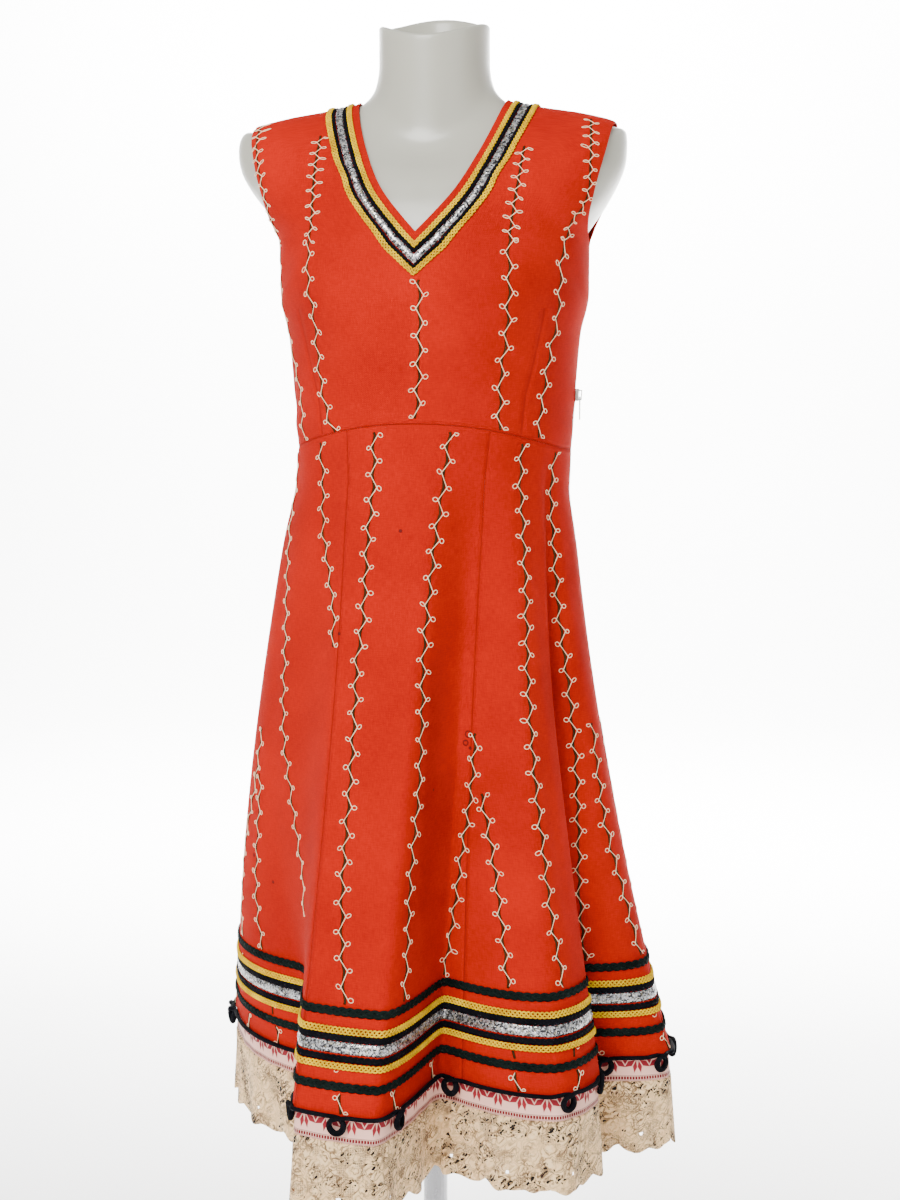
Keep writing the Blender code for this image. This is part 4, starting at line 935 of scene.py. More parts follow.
def bodice_panel(name, facing, node):
    away, level = bodice_grid(facing)
    rows, wide = away.shape
    points_in = []
    points_out = []
    uvs = []
    lines = []
    darts = []
    for side in (1.0, -1.0):
        angle = side * (away if facing > 0 else 180.0 - away)
        inner = bodice(angle, level, 0.0)
        outer = bodice(angle, level, WALL)
        for grid in (inner, outer):
            grid[0, :, 2] += HALF_GAP
            grid[:, -1, 1] -= facing * HALF_GAP * (away[:, -1] > 89.9)
        seam = np.minimum(
            np.abs(outer[:, :, 2] - outer[:1, :, 2]),
            np.where(away[:, -1:] > 89.9, np.abs(90.0 - away) * ARC, 1.0),
        )
        dart = dart_distance(outer) if facing > 0 else side * outer[..., 0]
        darts.append(dart.ravel())
        lines.append(seam.ravel())
        points_in.append(inner.reshape(-1, 3))
        points_out.append(outer.reshape(-1, 3))
        around = np.radians(wrap(angle)) * BODICE_RADIUS
        uvs.append(np.stack([around, outer[..., 2]], axis=-1).reshape(-1, 2))
    half = rows * wide
    base = grid_cells(rows, wide)
    mirror = base[:, ::-1] + half
    cells = np.concatenate([base, mirror])
    if facing < 0:
        cells = cells[:, ::-1]
    shared = np.arange(rows)[np.abs(away[:, 0]) < 1e-9] * wide
    swap = np.arange(2 * half)
    swap[shared + half] = shared
    cells = swap[cells]
    made = sheet_mesh(
        name, np.concatenate(points_in), np.concatenate(points_out), cells, WOOL,
        np.concatenate(uvs), {"line": np.concatenate(lines), "dart": np.concatenate(darts)},
    )
    attach(made, node, slot="red_wool")
    return made, cells


# Skirt
GORE_COLUMNS = 54
SKIRT_STEPS = 104


def even_angles(start, end, count):
    """Waist angles that share out the hem, and a little of the waist, in even steps."""
    fine = np.linspace(start, end, 241)
    plan = np.stack(hem_plan(fine), axis=-1)
    steps = np.linalg.norm(np.diff(plan, axis=0), axis=1)
    waist = np.radians(np.diff(fine)) * WAIST_RADIUS
    run = np.concatenate([[0.0], np.cumsum(steps + 0.5 * waist)])
    return np.interp(np.linspace(0.0, run[-1], count + 1), run, fine)


def skirt_gore(number):
    start = GORE_SEAMS[number]
    end = GORE_SEAMS[number + 1]
    fine = even_angles(start, end, GORE_COLUMNS)
    near = 0.03 * (fine[1] - fine[0])
    far = 12 * near
    angles = np.sort(np.concatenate([fine, [start + near, start + far, end - near, end - far]]))
    drops = np.concatenate([[0.0, 0.001, 0.004], np.linspace(0.008, 1.0, SKIRT_STEPS)])
    a, d = np.meshgrid(angles, drops)
    inner = skirt(a, d, 0.0)
    outer = skirt(a, d, WALL)
    for grid in (inner, outer):
        for column, other in ((0, 1), (-1, -2)):
            along = grid[:, other] - grid[:, column]
            along[:, 2] = 0.0
            grid[:, column] += unit(along) * HALF_GAP
        grid[0, :, 2] -= HALF_GAP
    steps = np.linalg.norm(np.diff(outer, axis=1), axis=2)
    across = np.concatenate([np.zeros((len(drops), 1)), np.cumsum(steps, axis=1)], axis=1)
    seam = np.minimum(across, across[:, -1:] - across)
    seam = np.minimum(seam, (outer[:1, :, 2] - outer[..., 2]))
    middle = 0.5 * across[:, -1:]
    uv = np.stack([across - middle, outer[..., 2]], axis=-1).reshape(-1, 2)
    cells = grid_cells(len(drops), len(angles), True)
    made = sheet_mesh(
        "cloth_skirt_" + GORE_NAMES[number], inner.reshape(-1, 3), outer.reshape(-1, 3), cells, WOOL,
        uv, {"line": seam.ravel(), "dart": np.ones(seam.size)},
    )
    attach(made, "skirt_" + GORE_NAMES[number], slot="red_wool")
    return made, cells, across


front_cloth, front_cells = bodice_panel("cloth_bodice_front", 1, "bodice_front")
back_cloth, back_cells = bodice_panel("cloth_bodice_back", -1, "bodice_back")
for number in range(len(GORE_NAMES)):
    gore, gore_cells, gore_across = skirt_gore(number)


# Dress form. The CAD form has no caps at its armholes.
CAP_LEFT = 0.014
CAP_RIGHT = 0.006
CAP_WIDE = 24.0
CAP_RING = 10.4
CAP_TALL = 1.5
FORM_BOTTOM_INSET = 0.004
FORM_TOP = (
    # inwards and upwards from the top ring
    (0.0006, 0.0012), (0.0018, 0.0021), (0.0034, 0.0024), (0.0050, 0.0021), (0.0064, 0.0010),
    (0.0076, -0.0008), (0.0090, -0.0030), (0.0120, -0.0090), (0.0200, -0.0105), (0.0350, -0.0110),
)


def shoulder_cap(angle, level):
    """How far the form stands out through the armholes: more on the wearer's right."""
    away = np.clip(np.abs(np.abs(angle) - 90.0) / CAP_WIDE, 0.0, 1.0)
    tall = np.maximum(0.0, 1.0 - ((level - CAP_RING) / CAP_TALL) ** 2)
    size = np.where(angle < 0.0, CAP_LEFT, CAP_RIGHT)
    return size * tall * np.cos(0.5 * np.pi * away) ** 2


def form_smooth():
    columns = 104
    even = np.linspace(0.15, 17.9, 120)
    levels = np.concatenate([[0.0, 0.02, 0.06], even, [RING_KNOTS[-1] - 1e-6]])
    angles = -360.0 * np.arange(columns) / columns
    a, level = np.meshgrid(wrap(angles), levels)
    ease = ring_value("ease", level)
    rings = list(body(a, level, shoulder_cap(a, level) - ease))
    bottom = rings[0]
    middle = bottom.mean(axis=0)
    rings.insert(0, bottom + unit(middle - bottom) * FORM_BOTTOM_INSET)
    top = rings[-1]
    middle = top.mean(axis=0)
    tilt = np.cross(top[0] - middle, top[columns // 4] - middle)
    tilt = tilt / np.linalg.norm(tilt)
    tilt = tilt if tilt[2] > 0.0 else -tilt
    inward = unit(middle - top)
    for inset, rise in FORM_TOP:
        rings.append(top + inward * inset + tilt * rise)
    points = np.concatenate(rings)
    faces = [list(range(columns))]
    for k in range(len(rings) - 1):
        low = k * columns
        high = low + columns
        for i in range(columns):
            j = (i + 1) % columns
            faces.append([low + i, high + i, high + j, low + j])
    last = (len(rings) - 1) * columns
    faces.append([last + i for i in reversed(range(columns))])
    made = mesh_object("form_smooth", points, faces, PLASTIC)
    made.data.set_sharp_from_angle(angle=math.radians(50.0))
    attach(made, "form_torso", slot="form_plastic")


form_smooth()


# Braids. A braid's place is a function of run (metres along), across and out.
class NeckCourse:
    """Closed course round the neck between two distances from the neckline."""

    def __init__(self, near, width):
        self.width = width
        self.loops = [np.array(neck_loop(near)), np.array(neck_loop(near + width))]
        middle = 0.5 * (bodice_points(self.loops[0]) + bodice_points(self.loops[1]))
        self.run = run_lengths(np.concatenate([middle, middle[:1]]))
        self.length = float(self.run[-1])

    def at(self, run, across, out):
        """Across goes from 0 to 1, away from the neck opening."""
        run = np.mod(run, self.length)
        ends = []
        for loop in self.loops:
            closed = np.concatenate([loop, loop[:1]])
            closed_angle = np.unwrap(closed[:, 0], period=360.0)
            ends.append((np.interp(run, self.run, closed_angle), np.interp(run, self.run, closed[:, 1])))
        angle = ends[0][0] + (ends[1][0] - ends[0][0]) * across
        level = ends[0][1] + (ends[1][1] - ends[0][1]) * across
        return bodice(wrap(angle), level, WALL + out)


def bodice_points(loop):
    loop = np.asarray(loop)
    return body(loop[:, 0], loop[:, 1], WALL)


def neck_side(edge, facing, steps):
    """Neckline of one side as (away, level), from the middle to the shoulder."""
    open_level = V_TIP_LEVEL if facing > 0 else NAPE_LEVEL
    levels = np.linspace(open_level + 0.02, LAST_RING, 120)
    away = edge_angles(levels, edge, facing)
    rest = np.linspace(away[-1] + 1.0, 90.0, 24)
    away = np.concatenate([[0.0], away, rest])
    levels = np.concatenate([[open_level], levels, neck_levels(rest, edge, facing)])
    points = body_base(away if facing > 0 else 180.0 - away, levels)
    run = run_lengths(points)
    marks = np.linspace(0.0, run[-1], steps + 1)
    return np.interp(marks, run, away), np.interp(marks, run, levels)


def walk(angle, level, direction, distance):
    """Walk over the body surface from points, given ways and a distance."""
    strides = 4
    for _ in range(strides):
        across = (body_base(angle + 0.2, level) - body_base(angle - 0.2, level)) / 0.4
        upward = (body_base(angle, level + 0.02) - body_base(angle, level - 0.02)) / 0.04
        aa = np.sum(across * across, axis=-1)
        uu = np.sum(upward * upward, axis=-1)
        au = np.sum(across * upward, axis=-1)
        da = np.sum(across * direction, axis=-1) * distance / strides
        du = np.sum(upward * direction, axis=-1) * distance / strides
        det = aa * uu - au * au
        angle = angle + (da * uu - du * au) / det
        level = level + (du * aa - da * au) / det
    return angle, level


def neck_offset(edge, facing, distance, steps):
    away, level = neck_side(edge, facing, steps)
    angle = away if facing > 0 else 180.0 - away
    base = body_base(angle, level)
    along = np.gradient(base, axis=0)
    if facing < 0:
        along[0] = (1.0, 0.0, 0.0)
    along[-1] = (0.0, facing, 0.0)
    outward = np.cross(unit(along), body_normal(angle, level)) * facing
    angle, level = walk(angle, level, outward, distance)
    if facing > 0:
        points = body_base(angle, level)
        slope = (points[3, 2] - points[1, 2]) / (points[3, 0] - points[1, 0])
        middle_z = float(points[1, 2] - points[1, 0] * slope)
        angle[0] = 0.0
        level[0] = bisect(lambda here: float(body_base(0.0, here)[2]) - middle_z, 5.0, 15.0)
    else:
        angle[0] = 180.0
    angle[-1] = 90.0
    return list(zip(angle.tolist(), level.tolist()))


def neck_loop(distance):
    front = neck_offset("front_neck", 1, distance, 90)
    back = neck_offset("back_neck", -1, distance, 48)
    right = front + back[-2::-1]
    left = [(-angle, level) for angle, level in right[-2:0:-1]]
    return right + left


class HemCourse:
    """Closed course round the skirt between two heights above the hem."""

    def __init__(self, low, width):
        self.low = low
        self.width = width
        self.angles = np.linspace(-90.0, 270.0, 2881)
        middle = skirt(self.angles, drop_at(self.angles, low + 0.5 * width), WALL)
        self.run = run_lengths(middle)
        self.length = float(self.run[-1])

    def at(self, run, across, out):
        """Across goes from 0 to 1, upwards."""
        angle = np.interp(np.mod(run, self.length), self.run, self.angles)
        return skirt(angle, drop_at(angle, self.low + self.width * across), WALL + out)


def sweep(points, closed):
    """Tube faces over section rings: points is (n, k, 3)."""
    n, k = points.shape[:2]
    faces = []
    for i in range(n if closed else n - 1):
        j = (i + 1) % n
        for m in range(k):
            p = (m + 1) % k
            faces.append([i * k + m, i * k + p, j * k + p, j * k + m])
    if not closed:
        faces.append([m for m in reversed(range(k))])
        faces.append([(n - 1) * k + m for m in range(k)])
    return faces


def oval_rings(path, normal, wide, tall, sides):
    """Rings of an oval section along a path. Normal is the way its height points."""
    tangent = np.roll(path, -1, axis=0) - np.roll(path, 1, axis=0)
    tangent = unit(tangent)
    normal = unit(normal - tangent * np.sum(normal * tangent, axis=1, keepdims=True))
    side = np.cross(tangent, normal)
    rings = []
    for m in range(sides):
        turn = TAU * m / sides
        rings.append(path + wide * side * math.cos(turn) - tall * normal * math.sin(turn))
    return np.stack(rings, axis=1)


STRANDS = 3
STRAND_SIDES = 5


def plait(name, course, node, material, slot, pitch, strand, height, step, weave_lift, spread=0.0):
    """Three strands laid over and under each other along a course."""
    step = step * 1.0
    turns = max(1, round(course.length / pitch))
    count = int(course.length / step)
    run = np.arange(count) * course.length / count
    phase = TAU * turns * run / course.length
    points = []
    faces = []
    reach = 0.5 + spread - strand / course.width
    for k in range(STRANDS):
        turn = phase + TAU * k / STRANDS
        across = 0.5 + reach * np.sin(turn)
        lift = height + weave_lift * (0.5 + 0.5 * np.sin(2.0 * turn + 0.4))
        centre = course.at(run, across, lift)
        above = course.at(run, across, lift + 0.001)
        rings = oval_rings(centre, above - centre, strand, height, STRAND_SIDES)
        start = len(points) * count * STRAND_SIDES
        faces += [[index + start for index in face] for face in sweep(rings, True)]
        points.append(rings.reshape(-1, 3))
    made = mesh_object(name, np.concatenate(points), faces, material)
    attach(made, node, slot=slot)
    return made


def ribbed_band(name, course, node, material, slot, rib, height, step):
    """A domed band with slanted ribs: its top, its edges and a flat back."""
    step = step * 1.0
    ribs = max(2, round(course.length / rib))
    count = int(course.length / step)
    run = np.arange(count) * course.length / count
    shares = np.linspace(0.0, 1.0, 9)
    rings = []
    for share in shares:
        dome = math.sin(math.pi * (0.06 + 0.88 * share))
        bias = abs(share - 0.5) * 1.2
        wave = np.cos(TAU * (ribs * run / course.length - bias))
        rings.append(course.at(run, share, height * dome * (0.78 + 0.22 * wave)))
    rings.append(course.at(run, 1.0, 0.0002))
    rings.append(course.at(run, 0.0, 0.0002))
    points = np.stack(rings, axis=1)
    made = mesh_object(name, points.reshape(-1, 3), sweep(points, True), material)
    attach(made, node, slot=slot)
    return made


NECK_ROWS = (
    ("neck_braid_yellow_inner", 0.0072, 0.0046),
    ("neck_braid_black_inner", 0.0115, 0.0044),
    ("neck_braid_silver", 0.0158, 0.0068),
    ("neck_braid_black_outer", 0.0226, 0.0042),
    ("neck_braid_yellow_outer", 0.0264, 0.0048),
)
HEM_ROWS = (
    ("hem_braid_green_lower", 0.0205, 0.0092),
    ("hem_braid_yellow_lower", 0.0400, 0.0052),
    ("hem_braid_black_lower", 0.0455, 0.0072),
    ("hem_braid_silver", 0.0530, 0.0102),
    ("hem_braid_black_upper", 0.0632, 0.0072),
    ("hem_braid_yellow_upper", 0.0704, 0.0056),
    ("hem_braid_green_upper", 0.0850, 0.0092),
)
for node, place, width in NECK_ROWS + HEM_ROWS:
    course = NeckCourse(place, width) if node.startswith("neck") else HemCourse(place, width)
    title = "braid_" + node.replace("_braid", "")
    if "silver" in node:
        ribbed_band(
            title, course, node, SILVER, "silver_braid", rib=0.0034, height=0.0016, step=0.0013,
        )
    elif "yellow" in node:
        plait(
            title, course, node, YELLOW, "yellow_braid", pitch=0.0129, strand=0.00092,
            height=0.00090, step=0.00105, weave_lift=0.0009, spread=0.13,
        )
    elif "black" in node:
        plait(
            title, course, node, BLACK, "black_braid", pitch=0.0170, strand=0.27 * width,
            height=0.00060, step=0.0017, weave_lift=0.0006,
        )
    else:
        plait(
            title, course, node, GREEN, "green_braid", pitch=0.0240, strand=0.23 * width,
            height=0.00070, step=0.0017, weave_lift=0.0009,
        )


# Hem cord with its loops
CORD_RADIUS = 0.0022
CORD_SIDES = 8
LOOP_SWELL = 0.35
LOOP_LEAD = 0.008
SHORT_SPAN = 0.021
LOOP_STEPS = (
    # along, down, out
    (-0.0090, 0.0000, 0.0000),
    (-0.0030, 0.0000, 0.0000),
    (0.0042, 0.0022, 0.0003),
    (0.0066, 0.0080, 0.0009),
    (0.0042, 0.0130, 0.0016),
    (0.0000, 0.0148, 0.0021),
    (-0.0042, 0.0130, 0.0027),
    (-0.0066, 0.0080, 0.0034),
    (-0.0042, 0.0022, 0.0042),
    (0.0030, 0.0000, 0.0042),
    (0.0090, 0.0000, 0.0006),
)
LOOP_ANGLES = (
    -33.0, -14.0, 8.0, 26.0, 37.0, 48.0, 66.0, 82.0, 97.0, 112.0,
    128.0, 146.0, 162.0, 180.0, 197.0, 213.0, 232.0, 250.0, 268.0, 284.0, 306.0,
)
CAD_COLUMNS = 11


def cad_angles():
    angles = []
    for start, end in zip(GORE_SEAMS, GORE_SEAMS[1:]):
        angles += list(even_angles(start, end, CAD_COLUMNS))[:-1]
    return np.array(angles)


def smooth_path(points, per_span):
    """Closed smooth curve through points (Catmull-Rom, spaced by distance)."""
    before = np.roll(points, 1, axis=0)
    after = np.roll(points, -1, axis=0)
    later = np.roll(points, -2, axis=0)
    span = np.linalg.norm(after - points, axis=1, keepdims=True)
    span_before = np.linalg.norm(points - before, axis=1, keepdims=True)
    span_after = np.linalg.norm(later - after, axis=1, keepdims=True)
    way = (after - points) / span
    way_before = (points - before) / span_before
    way_after = (later - after) / span_after
    slope = (way * span_before + way_before * span) / (span + span_before)
    slope_after = (way_after * span + way * span_after) / (span + span_after)
    pieces = []
    for t in np.arange(per_span) / per_span:
        pieces.append(
            points * (1 + 2 * t) * (1 - t) ** 2 + after * t * t * (3 - 2 * t)
            + span * (slope * t * (1 - t) ** 2 - slope_after * t * t * (1 - t))
        )
    return np.stack(pieces, axis=1).reshape(-1, 3)


def hem_cord():
    angles = cad_angles()
    stand = WALL + GAP + CORD_RADIUS
    place = skirt(angles, np.ones_like(angles), stand)
    outward = skirt(angles, np.ones_like(angles), stand + 0.001) - place
    place[:, 2] = HEM_Z - 0.3 * GAP
    loops = {int(np.argmin(np.abs(angles - angle))) for angle in LOOP_ANGLES}
    points = []
    normals = []
    thick = {}
    for column in range(len(angles)):
        points.append(place[column])
        normals.append(outward[column])
        following = (column + 1) % len(angles)
        end = place[following]
        if column not in loops:
            middle_angle = 0.5 * (angles[column] + (angles[following] if following else 270.0))
            spot = skirt(np.array([middle_angle]), np.array([1.0]), stand)[0]
            spot[2] = place[column][2]
            points.append(spot)
            normals.append(outward[column])
            continue
        span = np.linalg.norm(end - place[column])
        along = (end - place[column]) / span
        across = np.array([along[1], -along[0], 0.0])
        middle = 0.5 * (place[column] + end)
        for ahead, down, out in LOOP_STEPS:
            if abs(ahead) > LOOP_LEAD and span < SHORT_SPAN:
                continue
            points.append(middle + along * ahead + across * out - np.array([0.0, 0.0, down]))
            normals.append(across)
            thick[len(points) - 1] = 1.0 + LOOP_SWELL * min(1.0, down / 0.008)
    per_span = 5
    path = smooth_path(np.array(points), per_span)
    outs = np.repeat(np.array(normals), per_span, axis=0)
    sizes = np.array([thick.get(k, 1.0) for k in range(len(points))])
    places = np.arange(len(path)) / per_span
    sizes = np.interp(places, np.arange(len(points) + 1), np.append(sizes, sizes[0]))[:, None]
    rings = oval_rings(path, outs, CORD_RADIUS * sizes, CORD_RADIUS * sizes, CORD_SIDES)
    made = mesh_object("cord_hem_loops", rings.reshape(-1, 3), sweep(rings, True), BLACK)
    attach(made, "hem_cord_loops", slot="black_cord")


hem_cord()


# Ribbon and lace
def hem_frame(angles):
    """Hem points of the skirt's inside, and the way it slopes out below."""
    reach = SLOPE_REACH / (SIDE_SEAM_Z - HEM_Z)
    hem = skirt_base(angles, np.ones_like(angles))
    above = skirt_base(angles, np.full_like(angles, 1.0 - reach))
    return hem, (hem - above) / SLOPE_REACH, level_side(angles, np.ones_like(angles))


def ribbon_half(name, node, start, end):
    columns = 340
    angles = even_angles(start, end, columns)
    hem, slope, side = hem_frame(angles)
    run = run_lengths(hem)
    drops = np.concatenate([[-RIBBON_TUCK], np.linspace(-0.002, RIBBON_DROP, 12)])
    inner = []
    outer = []
    uv = []
    for drop in drops:
        if drop < 0.0:
            base = skirt_base(angles, drop_at(angles, -drop))
        else:
            base = hem + slope * drop * RIBBON_FLARE
            base[:, 2] = HEM_Z - drop
        wobble = 0.0004 * np.sin(run * TAU / 0.031) * max(drop, 0.0) / RIBBON_DROP
        outer.append(base - side * (TUCK_GAP - wobble[:, None]))
        inner.append(base - side * (TUCK_GAP + RIBBON_THICK - wobble[:, None]))
        uv.append(np.stack([run, np.full_like(run, drop)], axis=-1))
    cells = grid_cells(len(drops), len(angles), True)
    made = sheet_mesh(
        name, np.concatenate(inner), np.concatenate(outer), cells, RIBBON, np.concatenate(uv),
    )
    attach(made, node, slot="woven_ribbon")


ribbon_half("ribbon_cloth_front", "ribbon_front", -90.0, 90.0)
ribbon_half("ribbon_cloth_back", "ribbon_back", 90.0, 270.0)

LACE_REPEATS = 30
LACE_FLARE = 0.1
LACE_WAVE = 0.0045
LACE_SCALLOP = (0.0032, -0.0034, -0.0016, -0.0050, 0.0032)
LACE_HOLE = (0.0052, 0.0046)
HOLE_AT = (1.5 / 4.0, 0.775)
RIP_HOLE = (0.0110, 0.0190)
RIP_ANGLE = 55.0
RIP_AT = 0.275


def lace_holes(angles, run, repeat):
    top = RIBBON_DROP + GAP
    for k in range(LACE_REPEATS // 2):
        at = float(np.interp(k + HOLE_AT[0], repeat, run))
        yield at, top + LACE_DROP * HOLE_AT[1], LACE_HOLE[0], LACE_HOLE[1]
    if angles[0] < RIP_ANGLE < angles[-1]:
        nearest = float(np.interp(RIP_ANGLE, angles, repeat))
        column = round(nearest * 4.0 - 0.5) + 0.5
        at = float(np.interp(column / 4.0, repeat, run))
        yield at, top + LACE_DROP * RIP_AT, RIP_HOLE[0], RIP_HOLE[1]


CELL_CORNERS = [(row, column) for row in (slice(None, -1), slice(1, None))
                for column in (slice(None, -1), slice(1, None))]


def cut_hole(outer, inner, uv, run, hole):
    """Bring the points just inside a hole to its edge. Gives the cells that stay."""
    centre_run, centre_down, wide, tall = hole
    du = (uv[..., 0] - centre_run) / (0.5 * wide)
    dv = (uv[..., 1] - centre_down) / (0.5 * tall)
    radius = np.sqrt(du * du + dv * dv)
    inside = radius < 1.0
    full = np.logical_and.reduce([inside[corner] for corner in CELL_CORNERS])
    edge = np.logical_or.reduce([inside[corner] for corner in CELL_CORNERS]) & ~full
    touched = np.zeros_like(inside)
    for corner in CELL_CORNERS:
        touched[corner] |= edge
    last = len(run) - 1
    for r, c in zip(*np.nonzero(inside & touched)):
        scale = 1.0 / max(radius[r, c], 0.2)
        target_u = centre_run + (uv[r, c, 0] - centre_run) * scale
        target_v = centre_down + (uv[r, c, 1] - centre_down) * scale
        column = float(np.interp(target_u, run, np.arange(last + 1)))
        low = min(int(column), last - 1)
        part = column - low
        for grid in (outer, inner):
            spot = grid[r, low] * (1 - part) + grid[r, low + 1] * part
            spot[2] += uv[r, c, 1] - target_v
            grid[r, c] = spot
        uv[r, c] = (target_u, target_v)
    return ~full


def lace_half(name, node, start, end):
    columns = 540
    rows = 38
    angles = even_angles(start, end, columns)
    hem, slope, side = hem_frame(angles)
    repeat = np.linspace(0.0, LACE_REPEATS / 2, columns + 1)
    phase = repeat % 1.0
    scallop = SoftCurve(np.linspace(0.0, 1.0, 5), LACE_SCALLOP)(phase)
    scallop = scallop * (1.0 + 0.35 * np.sin(TAU * repeat * 0.23 + 1.0))
    lobes = repeat * 3.5 + 0.30 * np.sin(TAU * repeat * 0.37)
    scallop = scallop + 0.0008 - 0.0016 * np.abs(np.sin(math.pi * lobes))
    shares = np.concatenate([[-0.03, 0.0], np.linspace(0.02, 1.0, rows - 2)])
    run = run_lengths(hem)
    inner = []
    outer = []
    uv = []
    for share in shares:
        base = hem + slope * (RIBBON_DROP * RIBBON_FLARE + LACE_DROP * share * LACE_FLARE)
        base[:, 2] = HEM_Z - RIBBON_DROP - GAP - LACE_DROP * share + scallop * max(share, 0.0) ** 3
        wave = LACE_WAVE * max(share, 0.0) * np.sin(TAU * phase)
        pleat = 0.0007 * np.sin(TAU * run / 0.0085) * (1.0 - share) ** 2 * (share > 0.0)
        tuck = GAP if share > 0.0 else TUCK_GAP + RIBBON_THICK + 3.0 * GAP
        outer.append(base + side * (wave + pleat - tuck)[:, None])
        inner.append(base + side * (wave + pleat - tuck - LACE_THICK)[:, None])
        uv.append(np.stack([run, HEM_Z - base[:, 2]], axis=-1))
    outer = np.stack(outer)
    inner = np.stack(inner)
    uv = np.stack(uv)
    keep = np.ones((rows - 1, columns), bool)
    for hole in lace_holes(angles, run, repeat):
        keep &= cut_hole(outer, inner, uv, run, hole)
    cells = grid_cells(rows, columns + 1, True)[keep.ravel()]
    made = sheet_mesh(
        name, inner.reshape(-1, 3), outer.reshape(-1, 3), cells, LACE, uv.reshape(-1, 2),
    )
    attach(made, node, slot="ecru_lace")


lace_half("lace_cloth_front", "lace_front", -90.0, 90.0)
lace_half("lace_cloth_back", "lace_back", 90.0, 270.0)


# Embroidery: a zigzag thread with a ring at every corner over a thin dark stem. Vines on the
# bodice go through (height, distance from the middle), on the skirt through (waist angle, drop).
STITCH = 0.0125
DENSE_STITCH = 0.0068
OPEN_SIZES = (0.0037, 0.0020, 0.0022)  # half width of the zigzag, and its rings' half length and width
DENSE_SIZES = (0.0030, 0.0011, 0.0025)
THREAD = 0.00042
STEM = 0.00115
SKIRT_STEM = 0.00135
STEM_FLAT = 0.35
STEM_SHARE = 0.32
STEM_ASIDE = 0.0006
UNDER_BRAID = 0.0012
BODICE_VINES = (
    ((1.333, -0.168), (1.307, -0.1655), (1.268, -0.157), (1.247, -0.1528), (1.221, -0.1473),
     (1.17, -0.1430), (1.10, -0.1290), (1.083, -0.1242), (1.027, -0.1184)),
    ((1.3175, -0.1016), (1.279, -0.1013), (1.248, -0.1016), (1.213, -0.1052), (1.173, -0.1036),
     (1.148, -0.0985), (1.098, -0.0969), (1.055, -0.0895), (1.036, -0.0815)),
    ((1.1785, 0.006), (1.142, 0.006), (1.108, 0.005), (1.050, 0.001)),
    ((1.303, 0.097), (1.272, 0.094), (1.246, 0.0904), (1.213, 0.0866), (1.172, 0.0879),
     (1.128, 0.0845), (1.082, 0.0781), (1.039, 0.0768)),
    ((1.331, 0.156), (1.307, 0.158), (1.271, 0.157), (1.250, 0.1514), (1.233, 0.1393),
     (1.194, 0.1309), (1.150, 0.1284), (1.113, 0.1209), (1.063, 0.1136), (1.031, 0.110)),
)
BACK_BODICE_VINES = (
    ((1.331, -0.156), (1.271, -0.160), (1.230, -0.140), (1.150, -0.128), (1.025, -0.108)),
    ((1.318, -0.098), (1.246, -0.092), (1.172, -0.082), (1.082, -0.070), (1.025, -0.064)),
    ((1.290, -0.004), (1.150, -0.003), (1.026, -0.001)),
    ((1.318, 0.098), (1.246, 0.092), (1.172, 0.082), (1.082, 0.070), (1.025, 0.064)),
    ((1.331, 0.156), (1.271, 0.160), (1.230, 0.140), (1.150, 0.128), (1.025, 0.108)),
)
DENSE_ABOVE = 1.216
SKIRT_VINES = (
    ((-76.0, 0.01), (-73.0, 0.085), (-65.5, 0.175), (-57.5, 0.335), (-55.5, 0.455), (-51.0, 0.56),
     (-47.0, 0.645), (-43.8, 0.70), (-43.5, 0.75)),
    ((-45.0, 0.01), (-40.5, 0.14), (-36.5, 0.205), (-31.8, 0.305), (-31.8, 0.33)),
    ((-16.0, 0.01), (-16.0, 0.085), (-17.0, 0.18), (-17.0, 0.295), (-18.7, 0.35), (-18.0, 0.43),
     (-17.5, 0.54), (-17.0, 0.665), (-14.5, 0.755), (-10.0, 0.85), (-7.0, 0.997)),
    ((13.0, 0.01), (11.5, 0.105), (10.0, 0.21), (9.3, 0.345), (10.0, 0.42), (10.8, 0.545),
     (10.3, 0.665), (11.0, 0.805), (11.0, 0.84), (10.5, 0.997)),
    ((30.0, 0.465), (29.4, 0.555), (28.2, 0.635), (27.0, 0.715), (25.3, 0.80), (22.5, 0.86),
     (20.0, 0.997)),
    ((31.4, 0.556), (31.9, 0.580), (33.0, 0.64), (34.0, 0.74), (34.5, 0.83), (35.0, 0.997)),
    ((44.5, 0.01), (43.5, 0.17), (42.5, 0.29), (41.2, 0.39), (41.0, 0.53), (41.5, 0.625),
     (42.0, 0.745), (43.0, 0.82), (44.5, 0.997)),
    ((67.0, 0.01), (66.7, 0.105), (68.3, 0.245), (69.3, 0.30), (71.0, 0.405), (71.5, 0.49),
     (71.0, 0.635), (70.2, 0.725), (70.3, 0.83), (71.0, 0.997)),
    ((79.3, 0.45), (79.0, 0.53), (79.2, 0.60), (80.3, 0.655), (82.0, 0.70), (86.5, 0.855),
     (90.0, 0.997)),
    ((94.0, 0.45), (97.0, 0.56), (100.0, 0.70), (102.0, 0.84), (103.0, 0.997)),
    ((-70.5, 0.47), (-73.0, 0.575), (-77.0, 0.655), (-79.0, 0.74), (-78.5, 0.80), (-76.5, 0.84),
     (-75.0, 0.997)),
    ((-70.0, 0.545), (-69.2, 0.575), (-69.5, 0.61), (-70.5, 0.745), (-70.0, 0.81), (-69.5, 0.845),
     (-69.0, 0.997)),
    ((-90.7, 0.45), (-94.0, 0.60), (-96.0, 0.75), (-97.0, 0.997)),
)
